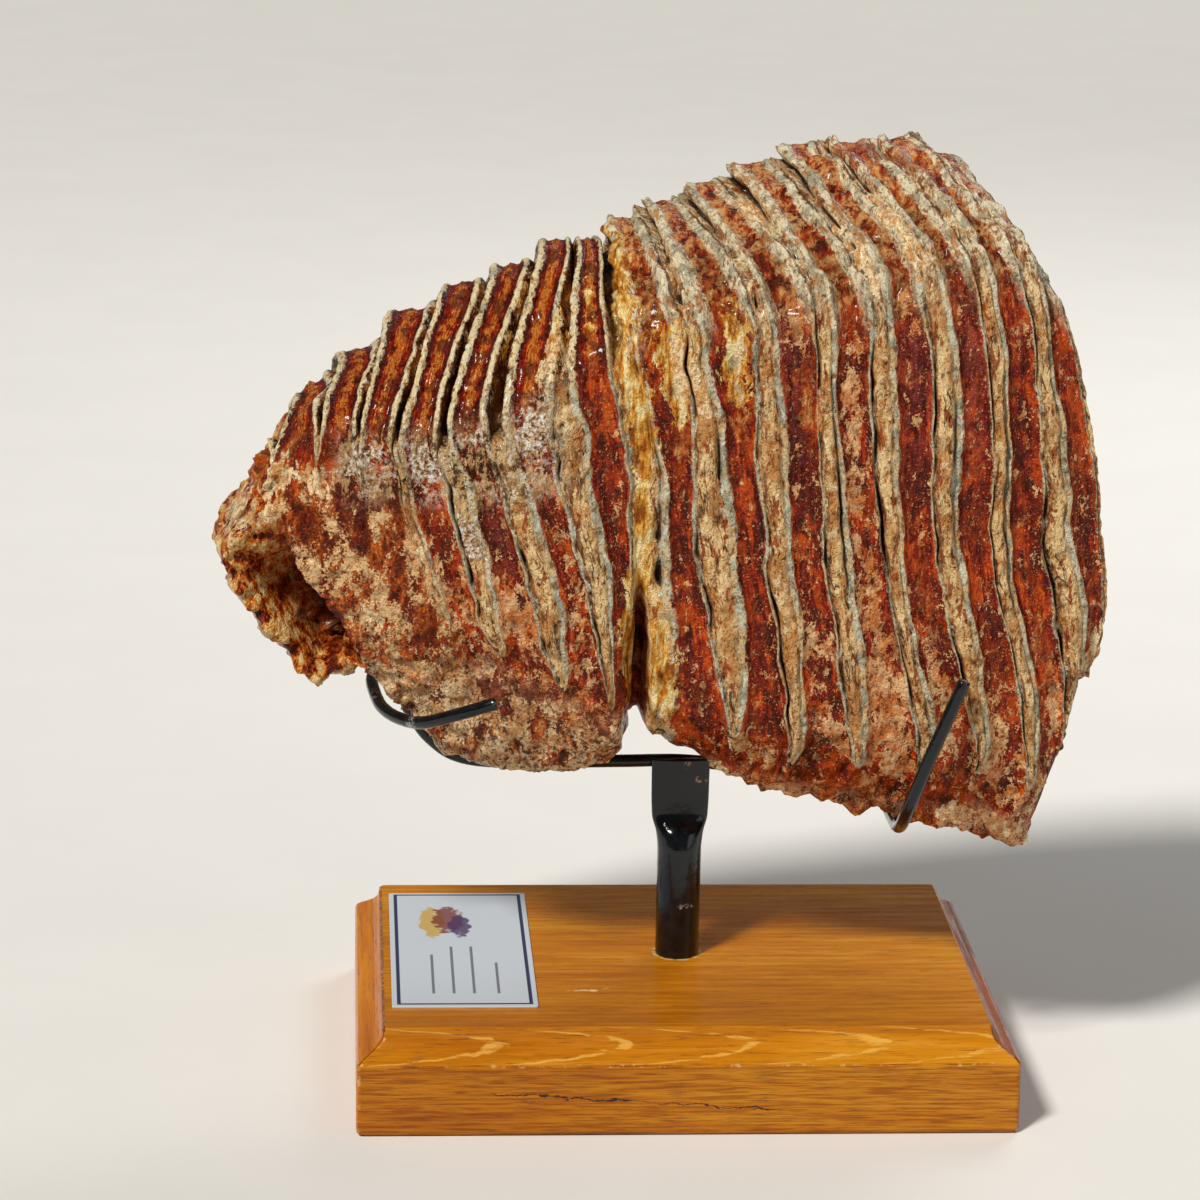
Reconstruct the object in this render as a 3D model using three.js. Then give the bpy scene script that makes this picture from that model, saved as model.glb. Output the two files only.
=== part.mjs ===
// A whole woolly mammoth molar on a display stand: a moulded wooden base with a label card, a steel post
// pinched flat at its top, a cross bar under the tooth, and two bent rods that hold the tooth at its ends.
// Units are millimetres. +X is to the right of the tooth's display side, +Y runs away from that side, and
// +Z is up. The origin is the centre of the base's underside.
import * as THREE from 'three';

const BASE_WIDTH = 160;
const BASE_DEPTH = 120;
const BASE_TOP = 25.5;
const BASE_CORNER = 1.2;
const CARD = { width: 35.75, length: 85.5, thick: 0.5, x: -53.5, y: 2.5 };
const TUBE = { x: 1, radius: 5.5, pinchHalfWidth: 7.3, pinchHalfThick: 1.3, pinchBack: 0.9 };
const TUBE_TOP = 76.25;
const ROD_RADIUS = 1.6;
const ROD_SIDES = 8;

// The base's edge from the underside up: how far in from the outer face, and the height.
const BASE_EDGE = [
  [1.0, 0],
  [0, 1.0],
  [0, 18.2],
  [0.5, 18.7],
  [2.4, 19.8],
  [4.7, 21.4],
  [6.1, 23.1],
  [6.3, BASE_TOP],
];

// The tube from its foot up: the height, and how far it is pinched, from 0 for round to 1 for flat.
const TUBE_PINCH = [
  [BASE_TOP, 0],
  [54, 0],
  [58, 0.25],
  [61, 0.82],
  [66, 0.95],
  [TUBE_TOP, 1],
];

// Centre lines of the rods, from end to end.
const CROSS_BAR = [
  [-67.5, 4.2, 89],
  [-62, 4.2, 81],
  [-54, 4.2, 75.8],
  [-40, 4.2, 74.4],
  [-15, 4.2, 74.7],
  [4, 4.2, 74.7],
  [22, 4.2, 72],
  [50, 4.2, 66.6],
];
const LEFT_ROD = [
  [-46.5, -33, 100.5],
  [-55.5, -30.5, 97],
  [-64, -24, 93],
  [-69.5, -16.5, 91.8],
  [-73.5, -8, 92],
  [-75.5, 1, 93.4],
  [-76, 10, 95],
  [-73, 20, 96.5],
  [-65, 27.5, 98],
  [-52, 32.5, 100.5],
];
const RIGHT_ROD = [
  [65, -42, 108.7],
  [57.9, -40, 89.5],
  [53.6, -36.5, 75.5],
  [52.6, -28, 67.8],
  [52.8, -14, 65.4],
  [53, 0, 64.6],
  [53.2, 14, 65.4],
  [53.4, 27, 67.8],
  [53.9, 37, 75.5],
  [55.4, 40.5, 89.5],
  [58.4, 42, 103],
];

// The tooth's plates as the display side shows them, from the nose to the back. Each row gives the plate's
// number, the tooth's half thickness there, x and z of the crest and of the shoulder, x at three heights
// down the flank, then x and z of the neck where the plate ends and of the foot of the root.
const PLATES = [
  plateRow(0, 14, [-101.5, 154], [-104.5, 149], [-112.5, -110, -103], [-96, 105], [-88, 100]),
  plateRow(1, 20, [-91, 169], [-94, 165], [-96.5, -95.5, -86], [-79, 109], [-77, 104]),
  plateRow(2, 24, [-80, 178.5], [-84, 167.5], [-84.5, -81, -73], [-66, 106], [-60, 84]),
  plateRow(3, 27, [-67, 189], [-75, 168], [-74, -69, -62.5], [-57, 109], [-51, 81]),
  plateRow(4, 29, [-55, 195.5], [-65, 167.5], [-63, -59, -54.5], [-50, 108], [-42, 79.5]),
  plateRow(5, 31, [-43, 200], [-54.5, 169], [-49.5, -44.5, -41.5], [-38, 105], [-35, 79.5]),
  plateRow(6, 33, [-32, 205.5], [-40, 175.5], [-36.5, -30.5, -26], [-23.5, 100], [-26, 79.5]),
  plateRow(7, 34, [-24, 205.5], [-25, 187], [-22, -18, -17], [-15.5, 98], [-15, 84]),
  plateRow(7.5, 34, [-19.5, 203.5], [-19, 190.5], [-13.5, -12, -11], [-10.5, 98], [-10, 90.5]),
  plateRow(8, 35, [-14.5, 210.5], [-11, 195.5], [-6, -3, 1], [3, 94], [5, 81]),
  plateRow(9, 36, [-5.5, 214.5], [5.5, 199], [9.5, 12.5, 17], [19, 90.5], [16.5, 76.5]),
  plateRow(10, 37, [5, 218], [20.5, 201], [24.5, 26.5, 30.5], [32.5, 88.5], [29, 73.5]),
  plateRow(11, 37, [17, 223], [34.5, 201.5], [36.5, 41, 46], [49, 84], [42.5, 71.5]),
  plateRow(12, 37, [29, 227], [46.5, 206], [51, 53, 60.5], [63.5, 83], [57.5, 68]),
  plateRow(13, 36, [40.5, 229], [58.5, 209.5], [65.5, 67, 74.5], [77, 81.5], [70, 65.5]),
  plateRow(14, 34, [53, 230], [71, 209.5], [77.5, 79.5, 87], [88, 78], [81.5, 62.5]),
  plateRow(15, 31, [62, 227], [81, 205.5], [89.5, 94.5, 97.5], [92, 95], [86, 62.5]),
  plateRow(15.5, 28, [68.5, 221], [86.5, 197.5], [94, 98.5, 100], [94, 97], [87.5, 62]),
];

// Where the flank's three heights lie, as shares of the way down from the shoulder to the neck, and how
// much of the half thickness the display side has at each height.
const FLANK_DROP = [0.27, 0.55, 0.8];
const FRONT_BULGE = { foot: 0.55, neck: 0.9, low: 1, mid: 1, high: 0.97, shoulder: 0.82 };
const BACK_BULGE = { foot: 0.5, neck: 0.88, low: 1, high: 1, shoulder: 0.85 };
const ROOT_GROOVE = 4;
const PLATE_SKEW = 12;
const LOOP_POINTS = 13;
const CREST_POINT = 7;

// Relief across one plate: dentine sunk in the middle, an enamel rib on each side, cement between plates.
const PLATE_STEPS = [0, 0.28, 0.5, 0.72];
const DENTINE = -1.2;
const ENAMEL = 1.2;
const CEMENT = -1.5;
const END_BULGE = 2;
const NOSE_POCKET = 17;
const CLEFT_POCKET = 17;

function plateRow(at, half, crest, shoulder, flank, neck, foot) {
  return { at, half, crest, shoulder, flank, neck, foot };
}

function smoothstep(low, high, value) {
  const t = Math.min(Math.max((value - low) / (high - low), 0), 1);
  return t * t * (3 - 2 * t);
}

// One on the stretch from a to b, fading to zero over the given width outside each end.
function plateau(a, b, fade, value) {
  return smoothstep(a - fade, a, value) * (1 - smoothstep(b, b + fade, value));
}

// Uniform Catmull-Rom value between four neighbours.
function blend4(p0, p1, p2, p3, t) {
  const linear = (p2 - p0) * t;
  const square = (2 * p0 - 5 * p1 + 4 * p2 - p3) * t * t;
  const cube = (3 * p1 - p0 - 3 * p2 + p3) * t * t * t;
  return 0.5 * (2 * p1 + linear + square + cube);
}

// A smooth value along the plate rows at a plate number.
function alongPlates(read, at) {
  const last = PLATES.length - 1;
  let row = 0;
  while (row < last - 1 && PLATES[row + 1].at <= at) {
    row += 1;
  }
  const t = (at - PLATES[row].at) / (PLATES[row + 1].at - PLATES[row].at);
  const values = [row - 1, row, row + 1, row + 2].map((i) => read(PLATES[Math.min(Math.max(i, 0), last)]));
  return blend4(...values, t);
}

// Plate tops are steps: nearly level over a plate, dropping at the gap to the next one.
function stepped(at) {
  const plate = Math.round(at);
  const offset = at - plate;
  return plate + 0.25 * offset + 0.375 * Math.sign(offset) * Math.abs(2 * offset) ** 6;
}

// The closed loop of control points round the tooth at one plate number. It starts under the middle,
// climbs the display side, crosses the crest and comes down the back.
function sectionLoop(at) {
  const half = alongPlates((p) => p.half, at);
  const point = (name, where = at) => ({
    x: alongPlates((p) => p[name][0], at),
    z: alongPlates((p) => p[name][1], where),
  });
  const crest = point('crest', Math.min(stepped(at), PLATES[PLATES.length - 1].at));
  const shoulder = point('shoulder');
  const neck = point('neck');
  const foot = point('foot');
  const flankX = [0, 1, 2].map((i) => alongPlates((p) => p.flank[i], at));
  const flankZ = FLANK_DROP.map((drop) => shoulder.z + (neck.z - shoulder.z) * drop);
  const crestBack = 2 + 13 * smoothstep(4, 13, at);
  const skew = PLATE_SKEW * smoothstep(3, 13, at);
  const front = FRONT_BULGE;
  const back = BACK_BULGE;
  return [
    [foot.x, 0, foot.z + ROOT_GROOVE],
    [foot.x, -front.foot * half, foot.z],
    [neck.x, -front.neck * half, neck.z],
    [flankX[2], -front.low * half, flankZ[2]],
    [flankX[1], -front.mid * half, flankZ[1]],
    [flankX[0], -front.high * half, flankZ[0]],
    [shoulder.x, -front.shoulder * half, shoulder.z],
    [crest.x, crestBack, crest.z],
    [crest.x + 0.25 * (shoulder.x - crest.x), back.shoulder * half, (shoulder.z + crest.z) / 2],
    [flankX[0] - skew, back.high * half, flankZ[0]],
    [flankX[2] - 0.8 * skew, back.low * half, flankZ[2]],
    [neck.x - 0.6 * skew, back.neck * half, neck.z],
    [foot.x - 0.4 * skew, back.foot * half, foot.z + 1],
  ];
}

function onLoop(loop, around) {
  const i = Math.floor(around);
  const t = around - i;
  const near = [i - 1, i, i + 1, i + 2].map((n) => loop[(n + LOOP_POINTS) % LOOP_POINTS]);
  const axes = [0, 1, 2].map((axis) => blend4(...near.map((p) => p[axis]), t));
  return new THREE.Vector3(...axes);
}

// How strongly the plates stand out: not on the root, weak on the worn nose, strong on the chewing side.
function plateStrength(at, around) {
  const side = around < 7 ? around : 13 - around;
  const aboveRoot = smoothstep(1.5, 2.3, side);
  const wornNose = 1 - 0.85 * (1 - smoothstep(2.6, 3.6, at)) * (1 - smoothstep(5.4, 6, side));
  const chewing = 1 + smoothstep(5.6, 6.4, side) * (at < 8 ? 0.5 : -0.4);
  return aboveRoot * wornNose * chewing;
}

function relief(at, around) {
  const fromMiddle = Math.abs(at - Math.round(at));
  const gap = fromMiddle > 0.4 ? CEMENT : ENAMEL;
  const plate = fromMiddle < 0.15 ? DENTINE : gap;
  const knobs = 1.3 * Math.sin(at * 5.3) * Math.sin(around * 7.1 + at * 1.9) * plateau(0, 1.6, 0.6, around);
  const wander = 0.5 * Math.sin(around * 4.7 + at * 2.3) * Math.sin(at * 3.1 - around * 1.7);
  return plate * plateStrength(at, around) + knobs + wander;
}

// Two hollows open on the display side: the broken root under the nose, and the cleft between the roots.
function pocketDepth(at, around) {
  const nose = plateau(0.55, 0.9, 0.3, at) * (at < 0.99 ? 1 : 0) * plateau(2.6, 4.1, 0.5, around);
  const cleft = plateau(7.4, 7.6, 0.3, at) * plateau(0.6, 2.6, 1, around);
  return NOSE_POCKET * nose + CLEFT_POCKET * cleft;
}

function spread(counts) {
  const places = [];
  counts.forEach((count, segment) => {
    for (let i = 0; i < count; i += 1) {
      places.push(segment + i / count);
    }
  });
  return places;
}

// Joins rings of points, all with the same even count, into one closed mesh. Each end is closed by strips
// between opposite points, from the ring's first point to the one halfway round.
function loftRings(rings) {
  const count = rings[0].length;
  const lastRing = (rings.length - 1) * count;
  const faces = [];
  for (let i = 0; i < count; i += 1) {
    const next = (i + 1) % count;
    for (let ring = 0; ring < rings.length - 1; ring += 1) {
      const low = ring * count;
      const high = low + count;
      faces.push(low + i, low + next, high + next);
      faces.push(low + i, high + next, high + i);
    }
  }
  for (let i = 0; i < count / 2; i += 1) {
    const across = (count - i) % count;
    if (i > 0) {
      faces.push(i, across, i + 1);
      faces.push(lastRing + i, lastRing + i + 1, lastRing + across);
    }
    if (i + 1 < count / 2) {
      faces.push(i + 1, across, count - i - 1);
      faces.push(lastRing + i + 1, lastRing + count - i - 1, lastRing + across);
    }
  }
  const geometry = new THREE.BufferGeometry();
  const places = rings.flat().flatMap((p) => p.toArray());
  geometry.setAttribute('position', new THREE.Float32BufferAttribute(places, 3));
  geometry.setIndex(faces);
  geometry.computeVertexNormals();
  return geometry;
}

// The place on the back of the tooth that faces a place on the display side.
function oppositePlace(around) {
  const backShare = (LOOP_POINTS - CREST_POINT) / CREST_POINT;
  return (LOOP_POINTS - around * backShare) % LOOP_POINTS;
}

// Rings that close an end of the tooth with a low dome over the line midway between its two sides.
function endDome(ring, bulge) {
  return [0.35, 0.7].map((share) => ring.map((p, i) => {
    const across = ring[(ring.length - i) % ring.length];
    const shrunk = p.clone().lerp(across, share / 2);
    shrunk.x += bulge * Math.sin((share * Math.PI) / 2);
    return shrunk;
  }));
}

function toothGeometry() {
  const lastPlate = PLATES[PLATES.length - 1].at;
  const along = spread(Array(16).fill(1)).flatMap((plate) => PLATE_STEPS.map((step) => plate + step));
  const columns = along.filter((at) => at <= lastPlate);
  const front = spread([2, 3, 3, 3, 2, 3, 3]);
  const around = [...front.map(oppositePlace), CREST_POINT, ...front.slice(1).reverse()];
  const base = columns.map((at) => {
    const loop = sectionLoop(at);
    return around.map((place) => onLoop(loop, place));
  });
  const rings = base.map((ring, c) => ring.map((point, r) => {
    const before = base[Math.max(c - 1, 0)][r];
    const after = base[Math.min(c + 1, base.length - 1)][r];
    const below = ring[(r + ring.length - 1) % ring.length];
    const above = ring[(r + 1) % ring.length];
    const alongward = after.clone().sub(before);
    const outward = above.clone().sub(below).cross(alongward).normalize();
    const placed = point.clone().addScaledVector(outward, relief(columns[c], around[r]));
    placed.y += pocketDepth(columns[c], around[r]);
    return placed;
  }));
  const nose = endDome(rings[0], -END_BULGE).reverse();
  const rear = endDome(rings[rings.length - 1], END_BULGE);
  return loftRings([...nose, ...rings, ...rear]);
}

// A rectangle with rounded corners, counter-clockwise, at one height.
function roundedRectangle(width, depth, corner, z) {
  const ring = [];
  const steps = 3;
  const corners = [[1, 1], [-1, 1], [-1, -1], [1, -1]];
  corners.forEach(([sideX, sideY], quarter) => {
    for (let i = 0; i <= steps; i += 1) {
      const angle = (quarter + i / steps) * (Math.PI / 2);
      const x = sideX * (width / 2 - corner) + corner * Math.cos(angle);
      const y = sideY * (depth / 2 - corner) + corner * Math.sin(angle);
      ring.push(new THREE.Vector3(x, y, z));
    }
  });
  return ring;
}

function baseGeometry() {
  const rings = BASE_EDGE.map(([inset, z]) => (
    roundedRectangle(BASE_WIDTH - 2 * inset, BASE_DEPTH - 2 * inset, BASE_CORNER, z)
  ));
  return loftRings(rings);
}

// The tube's front wall is pressed towards its back, so the flat top is wide, thin and set back.
function tubeGeometry() {
  const sides = 20;
  const rings = TUBE_PINCH.map(([z, pinch]) => {
    const halfX = THREE.MathUtils.lerp(TUBE.radius, TUBE.pinchHalfWidth, pinch);
    const halfY = THREE.MathUtils.lerp(TUBE.radius, TUBE.pinchHalfThick, pinch);
    const back = TUBE.pinchBack * pinch;
    return Array.from({ length: sides }, (_, i) => {
      const angle = (i / sides) * 2 * Math.PI;
      return new THREE.Vector3(TUBE.x + halfX * Math.cos(angle), back + halfY * Math.sin(angle), z);
    });
  });
  return loftRings(rings);
}

function rodGeometry(points, steps) {
  const section = new THREE.Shape();
  for (let i = 0; i < ROD_SIDES; i += 1) {
    const angle = (i / ROD_SIDES) * 2 * Math.PI;
    const x = ROD_RADIUS * Math.cos(angle);
    const y = ROD_RADIUS * Math.sin(angle);
    if (i === 0) {
      section.moveTo(x, y);
    } else {
      section.lineTo(x, y);
    }
  }
  section.closePath();
  const path = new THREE.CatmullRomCurve3(points.map((p) => new THREE.Vector3(...p)));
  return new THREE.ExtrudeGeometry(section, { steps, extrudePath: path, curveSegments: 1 });
}

const blackPaint = { color: 0x14161a, roughness: 0.35, metalness: 0.2 };

function addPiece(group, name, geometry, finish) {
  const mesh = new THREE.Mesh(geometry, new THREE.MeshStandardMaterial(finish));
  mesh.name = name;
  group.add(mesh);
  return mesh;
}

const display = new THREE.Group();
addPiece(display, 'tooth', toothGeometry(), { color: 0x9a5a34, roughness: 0.4, metalness: 0 });
addPiece(display, 'wood_base', baseGeometry(), { color: 0xb8752a, roughness: 0.45, metalness: 0 });
const card = addPiece(
  display,
  'label_card',
  new THREE.BoxGeometry(CARD.width, CARD.length, CARD.thick),
  { color: 0xc9ced4, roughness: 0.5, metalness: 0 },
);
card.position.set(CARD.x, CARD.y, BASE_TOP + CARD.thick / 2);
addPiece(display, 'post_tube', tubeGeometry(), blackPaint);
addPiece(display, 'cross_bar', rodGeometry(CROSS_BAR, 24), blackPaint);
addPiece(display, 'left_cradle_rod', rodGeometry(LEFT_ROD, 28), blackPaint);
addPiece(display, 'right_cradle_rod', rodGeometry(RIGHT_ROD, 32), blackPaint);

export default display;
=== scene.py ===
"""A woolly mammoth molar on its display stand: the looks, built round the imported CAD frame.

Lengths are in millimetres until a mesh is made, and metres from there on. +X is to the right of the tooth's
display side, +Y runs away from that side, +Z is up, and the origin is under the middle of the base.
"""

import math
from types import SimpleNamespace

import bpy
import numpy as np
from mathutils import Matrix, Vector, noise


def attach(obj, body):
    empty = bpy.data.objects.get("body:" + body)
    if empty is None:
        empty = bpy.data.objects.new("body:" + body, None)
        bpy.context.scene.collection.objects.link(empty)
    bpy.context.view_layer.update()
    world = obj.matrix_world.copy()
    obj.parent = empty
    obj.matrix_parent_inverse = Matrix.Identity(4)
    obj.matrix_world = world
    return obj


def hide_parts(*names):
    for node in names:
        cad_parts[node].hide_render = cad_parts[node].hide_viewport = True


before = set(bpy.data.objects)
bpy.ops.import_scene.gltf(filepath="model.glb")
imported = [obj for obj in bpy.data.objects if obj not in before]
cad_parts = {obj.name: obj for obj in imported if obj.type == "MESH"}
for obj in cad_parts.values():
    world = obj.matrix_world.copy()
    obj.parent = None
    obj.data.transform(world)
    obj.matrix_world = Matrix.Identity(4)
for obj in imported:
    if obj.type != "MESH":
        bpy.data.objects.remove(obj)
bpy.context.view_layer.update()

MM = 0.001

# The camera, fitted to the photograph: place in mm, then its turns in degrees.
CAMERA_PLACE = (-83.4, -1001.1, 381.0)
CAMERA_YAW = 3.62
CAMERA_PITCH = 14.72
CAMERA_ROLL = -1.06
CAMERA_LENS = 126.0
CAMERA_SENSOR = 36.0


def srgb(red, green, blue):
    """A linear colour from the usual 0 to 255 values."""
    def linear(value):
        share = value / 255
        return share / 12.92 if share <= 0.04045 else ((share + 0.055) / 1.055) ** 2.4
    return (linear(red), linear(green), linear(blue), 1.0)


def smoothstep(low, high, value):
    t = np.clip((np.asarray(value, float) - low) / (high - low), 0, 1)
    return t * t * (3 - 2 * t)


def plateau(low, high, fade, value):
    """One from low to high, fading to zero over the given width outside each end."""
    return smoothstep(low - fade, low, value) * (1 - smoothstep(high, high + fade, value))


def mix(a, b, share):
    return a + (b - a) * share


def noise_at(points, size, octaves=3, seed=0):
    """Fractal noise, mostly from -1 to 1, with lumps of about the given size."""
    places = np.asarray(points, float) / size + 17.31 * seed
    values = [noise.fractal(p, 1.0, 2.0, octaves, noise_basis="PERLIN_NEW") for p in places.tolist()]
    return np.array(values)


def blend4(p0, p1, p2, p3, t):
    """Uniform Catmull-Rom value between four neighbours."""
    linear = (p2 - p0) * t
    square = (2 * p0 - 5 * p1 + 4 * p2 - p3) * t * t
    cube = (3 * p1 - p0 - 3 * p2 + p3) * t * t * t
    return 0.5 * (2 * p1 + linear + square + cube)


def spread(counts):
    """Places along unit segments, with the given number of steps in each."""
    return np.concatenate([segment + np.arange(count) / count for segment, count in enumerate(counts)])


# The tooth's form. Each row: plate number, half thickness, x and z of the crest and of the shoulder, x at
# three heights down the flank, x and z of the neck where the plate ends, and x and z of the root's foot.
PLATES = [
    (0, 14, (-101.5, 154), (-104.5, 149), (-112.5, -110, -103), (-96, 105), (-88, 100)),
    (1, 20, (-91, 169), (-94, 165), (-96.5, -95.5, -86), (-79, 109), (-77, 104)),
    (2, 24, (-80, 178.5), (-84, 167.5), (-84.5, -81, -73), (-66, 106), (-60, 84)),
    (3, 27, (-67, 189), (-75, 168), (-74, -69, -62.5), (-57, 109), (-51, 81)),
    (4, 29, (-55, 195.5), (-65, 167.5), (-63, -59, -54.5), (-50, 108), (-42, 79.5)),
    (5, 31, (-43, 200), (-54.5, 169), (-49.5, -44.5, -41.5), (-38, 105), (-35, 79.5)),
    (6, 33, (-32, 205.5), (-40, 175.5), (-36.5, -30.5, -26), (-23.5, 100), (-26, 79.5)),
    (7, 34, (-24, 205.5), (-25, 187), (-22, -18, -17), (-15.5, 98), (-15, 84)),
    (7.5, 34, (-19.5, 203.5), (-19, 190.5), (-13.5, -12, -11), (-10.5, 98), (-10, 90.5)),
    (8, 35, (-14.5, 210.5), (-11, 195.5), (-6, -3, 1), (3, 94), (5, 81)),
    (9, 36, (-5.5, 214.5), (5.5, 199), (9.5, 12.5, 17), (19, 90.5), (16.5, 76.5)),
    (10, 37, (5, 218), (20.5, 201), (24.5, 26.5, 30.5), (32.5, 88.5), (29, 73.5)),
    (11, 37, (17, 223), (34.5, 201.5), (36.5, 41, 46), (49, 84), (42.5, 71.5)),
    (12, 37, (29, 227), (46.5, 206), (51, 53, 60.5), (63.5, 83), (57.5, 68)),
    (13, 36, (40.5, 229), (58.5, 209.5), (65.5, 67, 74.5), (77, 81.5), (70, 65.5)),
    (14, 34, (53, 230), (71, 209.5), (77.5, 79.5, 87), (88, 78), (81.5, 62.5)),
    (15, 31, (62, 227), (81, 205.5), (89.5, 94.5, 97.5), (92, 95), (86, 62.5)),
    (15.5, 28, (68.5, 221), (86.5, 197.5), (94, 98.5, 100), (94, 97), (87.5, 62)),
]
PLATE_AT = np.array([row[0] for row in PLATES], float)
LAST_PLATE = PLATE_AT[-1]
HALF, CREST, SHOULDER, FLANK, NECK, FOOT = (
    np.array([row[i] for row in PLATES], float) for i in range(1, 7)
)
FLANK_DROP = (0.27, 0.55, 0.8)
FRONT_BULGE = {"foot": 0.55, "neck": 0.9, "low": 1.0, "mid": 1.0, "high": 0.97, "shoulder": 0.82}
BACK_BULGE = {"foot": 0.5, "neck": 0.88, "low": 1.0, "high": 1.0, "shoulder": 0.85}
ROOT_GROOVE = 4.0
PLATE_SKEW = 12.0
LOOP_POINTS = 13
CREST_POINT = 7

# The cement between the plates. Each row: where the gap lies, how low on the side its cement reaches, its
# half width in plates on the chewed top, the flank and the neck, and how deep the slot is worn on top.
GAPS = [
    (0.5, 5.85, 0.05, 0.04, 0.04, 2.0),
    (1.5, 5.4, 0.06, 0.04, 0.04, 3.5),
    (2.5, 4.9, 0.06, 0.05, 0.04, 4.5),
    (3.5, 2.8, 0.07, 0.09, 0.06, 5.0),
    (4.5, 2.3, 0.08, 0.14, 0.12, 6.0),
    (5.5, 2.0, 0.10, 0.18, 0.11, 8.0),
    (6.5, 2.0, 0.09, 0.21, 0.12, 3.0),
    (7.5, 0.0, 0.17, 0.21, 0.22, 4.0),
    (8.5, 1.95, 0.11, 0.19, 0.11, 3.0),
    (9.5, 1.75, 0.12, 0.17, 0.12, 2.6),
    (10.5, 1.95, 0.12, 0.16, 0.12, 2.6),
    (11.5, 1.95, 0.14, 0.13, 0.12, 2.2),
    (12.5, 2.1, 0.14, 0.18, 0.12, 2.4),
    (13.5, 1.95, 0.13, 0.14, 0.11, 2.0),
    (14.5, 2.1, 0.14, 0.17, 0.1, 2.0),
    (15.5, 2.4, 0.12, 0.14, 0.12, 1.2),
]
GAP_AT, GAP_END, GAP_TOP, GAP_FLANK, GAP_NECK, GAP_SLOT = (
    np.array([row[i] for row in GAPS], float) for i in range(6)
)
ENAMEL_TOP = (0.15, 0.13)
ENAMEL_FLANK = 0.105

# Columns of the mesh over half a plate: 0 is the middle of the cement, 1 its border with the enamel, 2 the
# enamel's border with the dentine, and 3 the middle of the plate. Three halves get extra columns.
BAND_STEPS = (0, 0.35, 0.65, 0.87, 1.0, 1.13, 1.5, 1.87, 2.1, 2.4, 2.7, 3.0)
EXTRA_STEPS = {(0.5, 1): (2.8, 2.9, 2.96), (7.5, -1): (0.15, 0.5), (7.5, 1): (0.15, 0.5)}
ROW_AROUND = spread((8, 20, 25, 30, 33, 32, 44, 16, 14, 20, 8, 10, 6))
END_BULGE = 2.0
END_KNOBS = 0.8
END_SHARES = (0.12, 0.3, 0.5, 0.7, 0.88, 0.97)

# The gap where the cleft between the roots is, and how far the hollows are pushed in.
CLEFT_GAP = 7.5
NOSE_PUSH = 21.0
CLEFT_PUSH = 22.0
VALLEY_PUSH = 2.4

# The thinnest cement and enamel that the mesh's columns are laid for, as shares of a plate.
THIN_CEMENT = 0.035
THIN_ENAMEL = 0.05

# Crevices on the display side: plate number at the low and high end, their places around, width and depth.
GROOVES = [
    (7.7, 7.74, 3.7, 4.7, 0.05, 2.2), (8.25, 8.25, 3.7, 4.6, 0.035, 1.6), (8.66, 8.7, 4.2, 4.8, 0.04, 2.0),
    (9.25, 9.25, 3.8, 4.6, 0.035, 1.8), (10.66, 10.66, 3.9, 4.9, 0.035, 2.0),
    (11.33, 11.36, 3.2, 4.7, 0.04, 2.2), (12.7, 12.7, 4.0, 4.9, 0.035, 2.0),
    (13.66, 13.66, 3.9, 4.9, 0.035, 2.0), (14.34, 14.34, 3.3, 4.2, 0.035, 2.0),
]

# Plates with more tan dust on their dentine than the others.
PLATE_DUST = {10: 0.25, 11: 0.9, 14: 0.3, 15: 0.5}

# Lumps that stand out of the tooth: x, y and z of the middle, radius and push.
LUMPS = [
    (43, -20, 71, 7, (0, -1.2, -1.2)), (58, -20, 66, 6, (0, -1.2, -1.2)),
    (75, -19, 63.5, 6.5, (0, -1.8, -1.6)), (86, -17, 62.5, 8, (0, -1.5, -1.6)),
    (66, -20, 65, 5, (0, -1.5, -1.0)), (-38, -17, 79, 10, (0, -1.2, -0.5)),
    (-112, -8, 143, 4, (-2.6, -1.4, 0.8)), (-109, -8, 149.5, 3.5, (2.0, 0.6, -0.6)),
    (-111, -8, 132, 6, (-1.6, -0.6, 0)), (-101, -6, 157, 3.0, (-2.4, -0.5, 4.6)),
    (-90, -9, 102, 6, (0, -1.5, -1.4)), (-83, -8, 104, 5, (0, -1.2, -1.4)),
    (-2, -29, 195, 4, (0, -1.8, 1.2)), (4, -27, 202, 3.5, (0, -1.5, 1.5)),
    (14, -29, 199, 4.5, (0, -2.0, 1.2)), (21, -26, 206, 4, (0, -1.5, 1.8)),
    (29, -30, 200, 4.5, (0, -2.2, 1.2)), (41, -30, 203, 4.5, (0, -1.8, 1.5)),
    (46, -25, 211, 4, (0, -1.5, 2.0)), (53, -30, 206, 4.5, (0, -2.0, 1.4)),
    (66, -28, 208, 4.5, (0, -1.8, 1.6)), (-12, -26, 200, 3.5, (0, -1.6, 1.2)),
]

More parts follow.
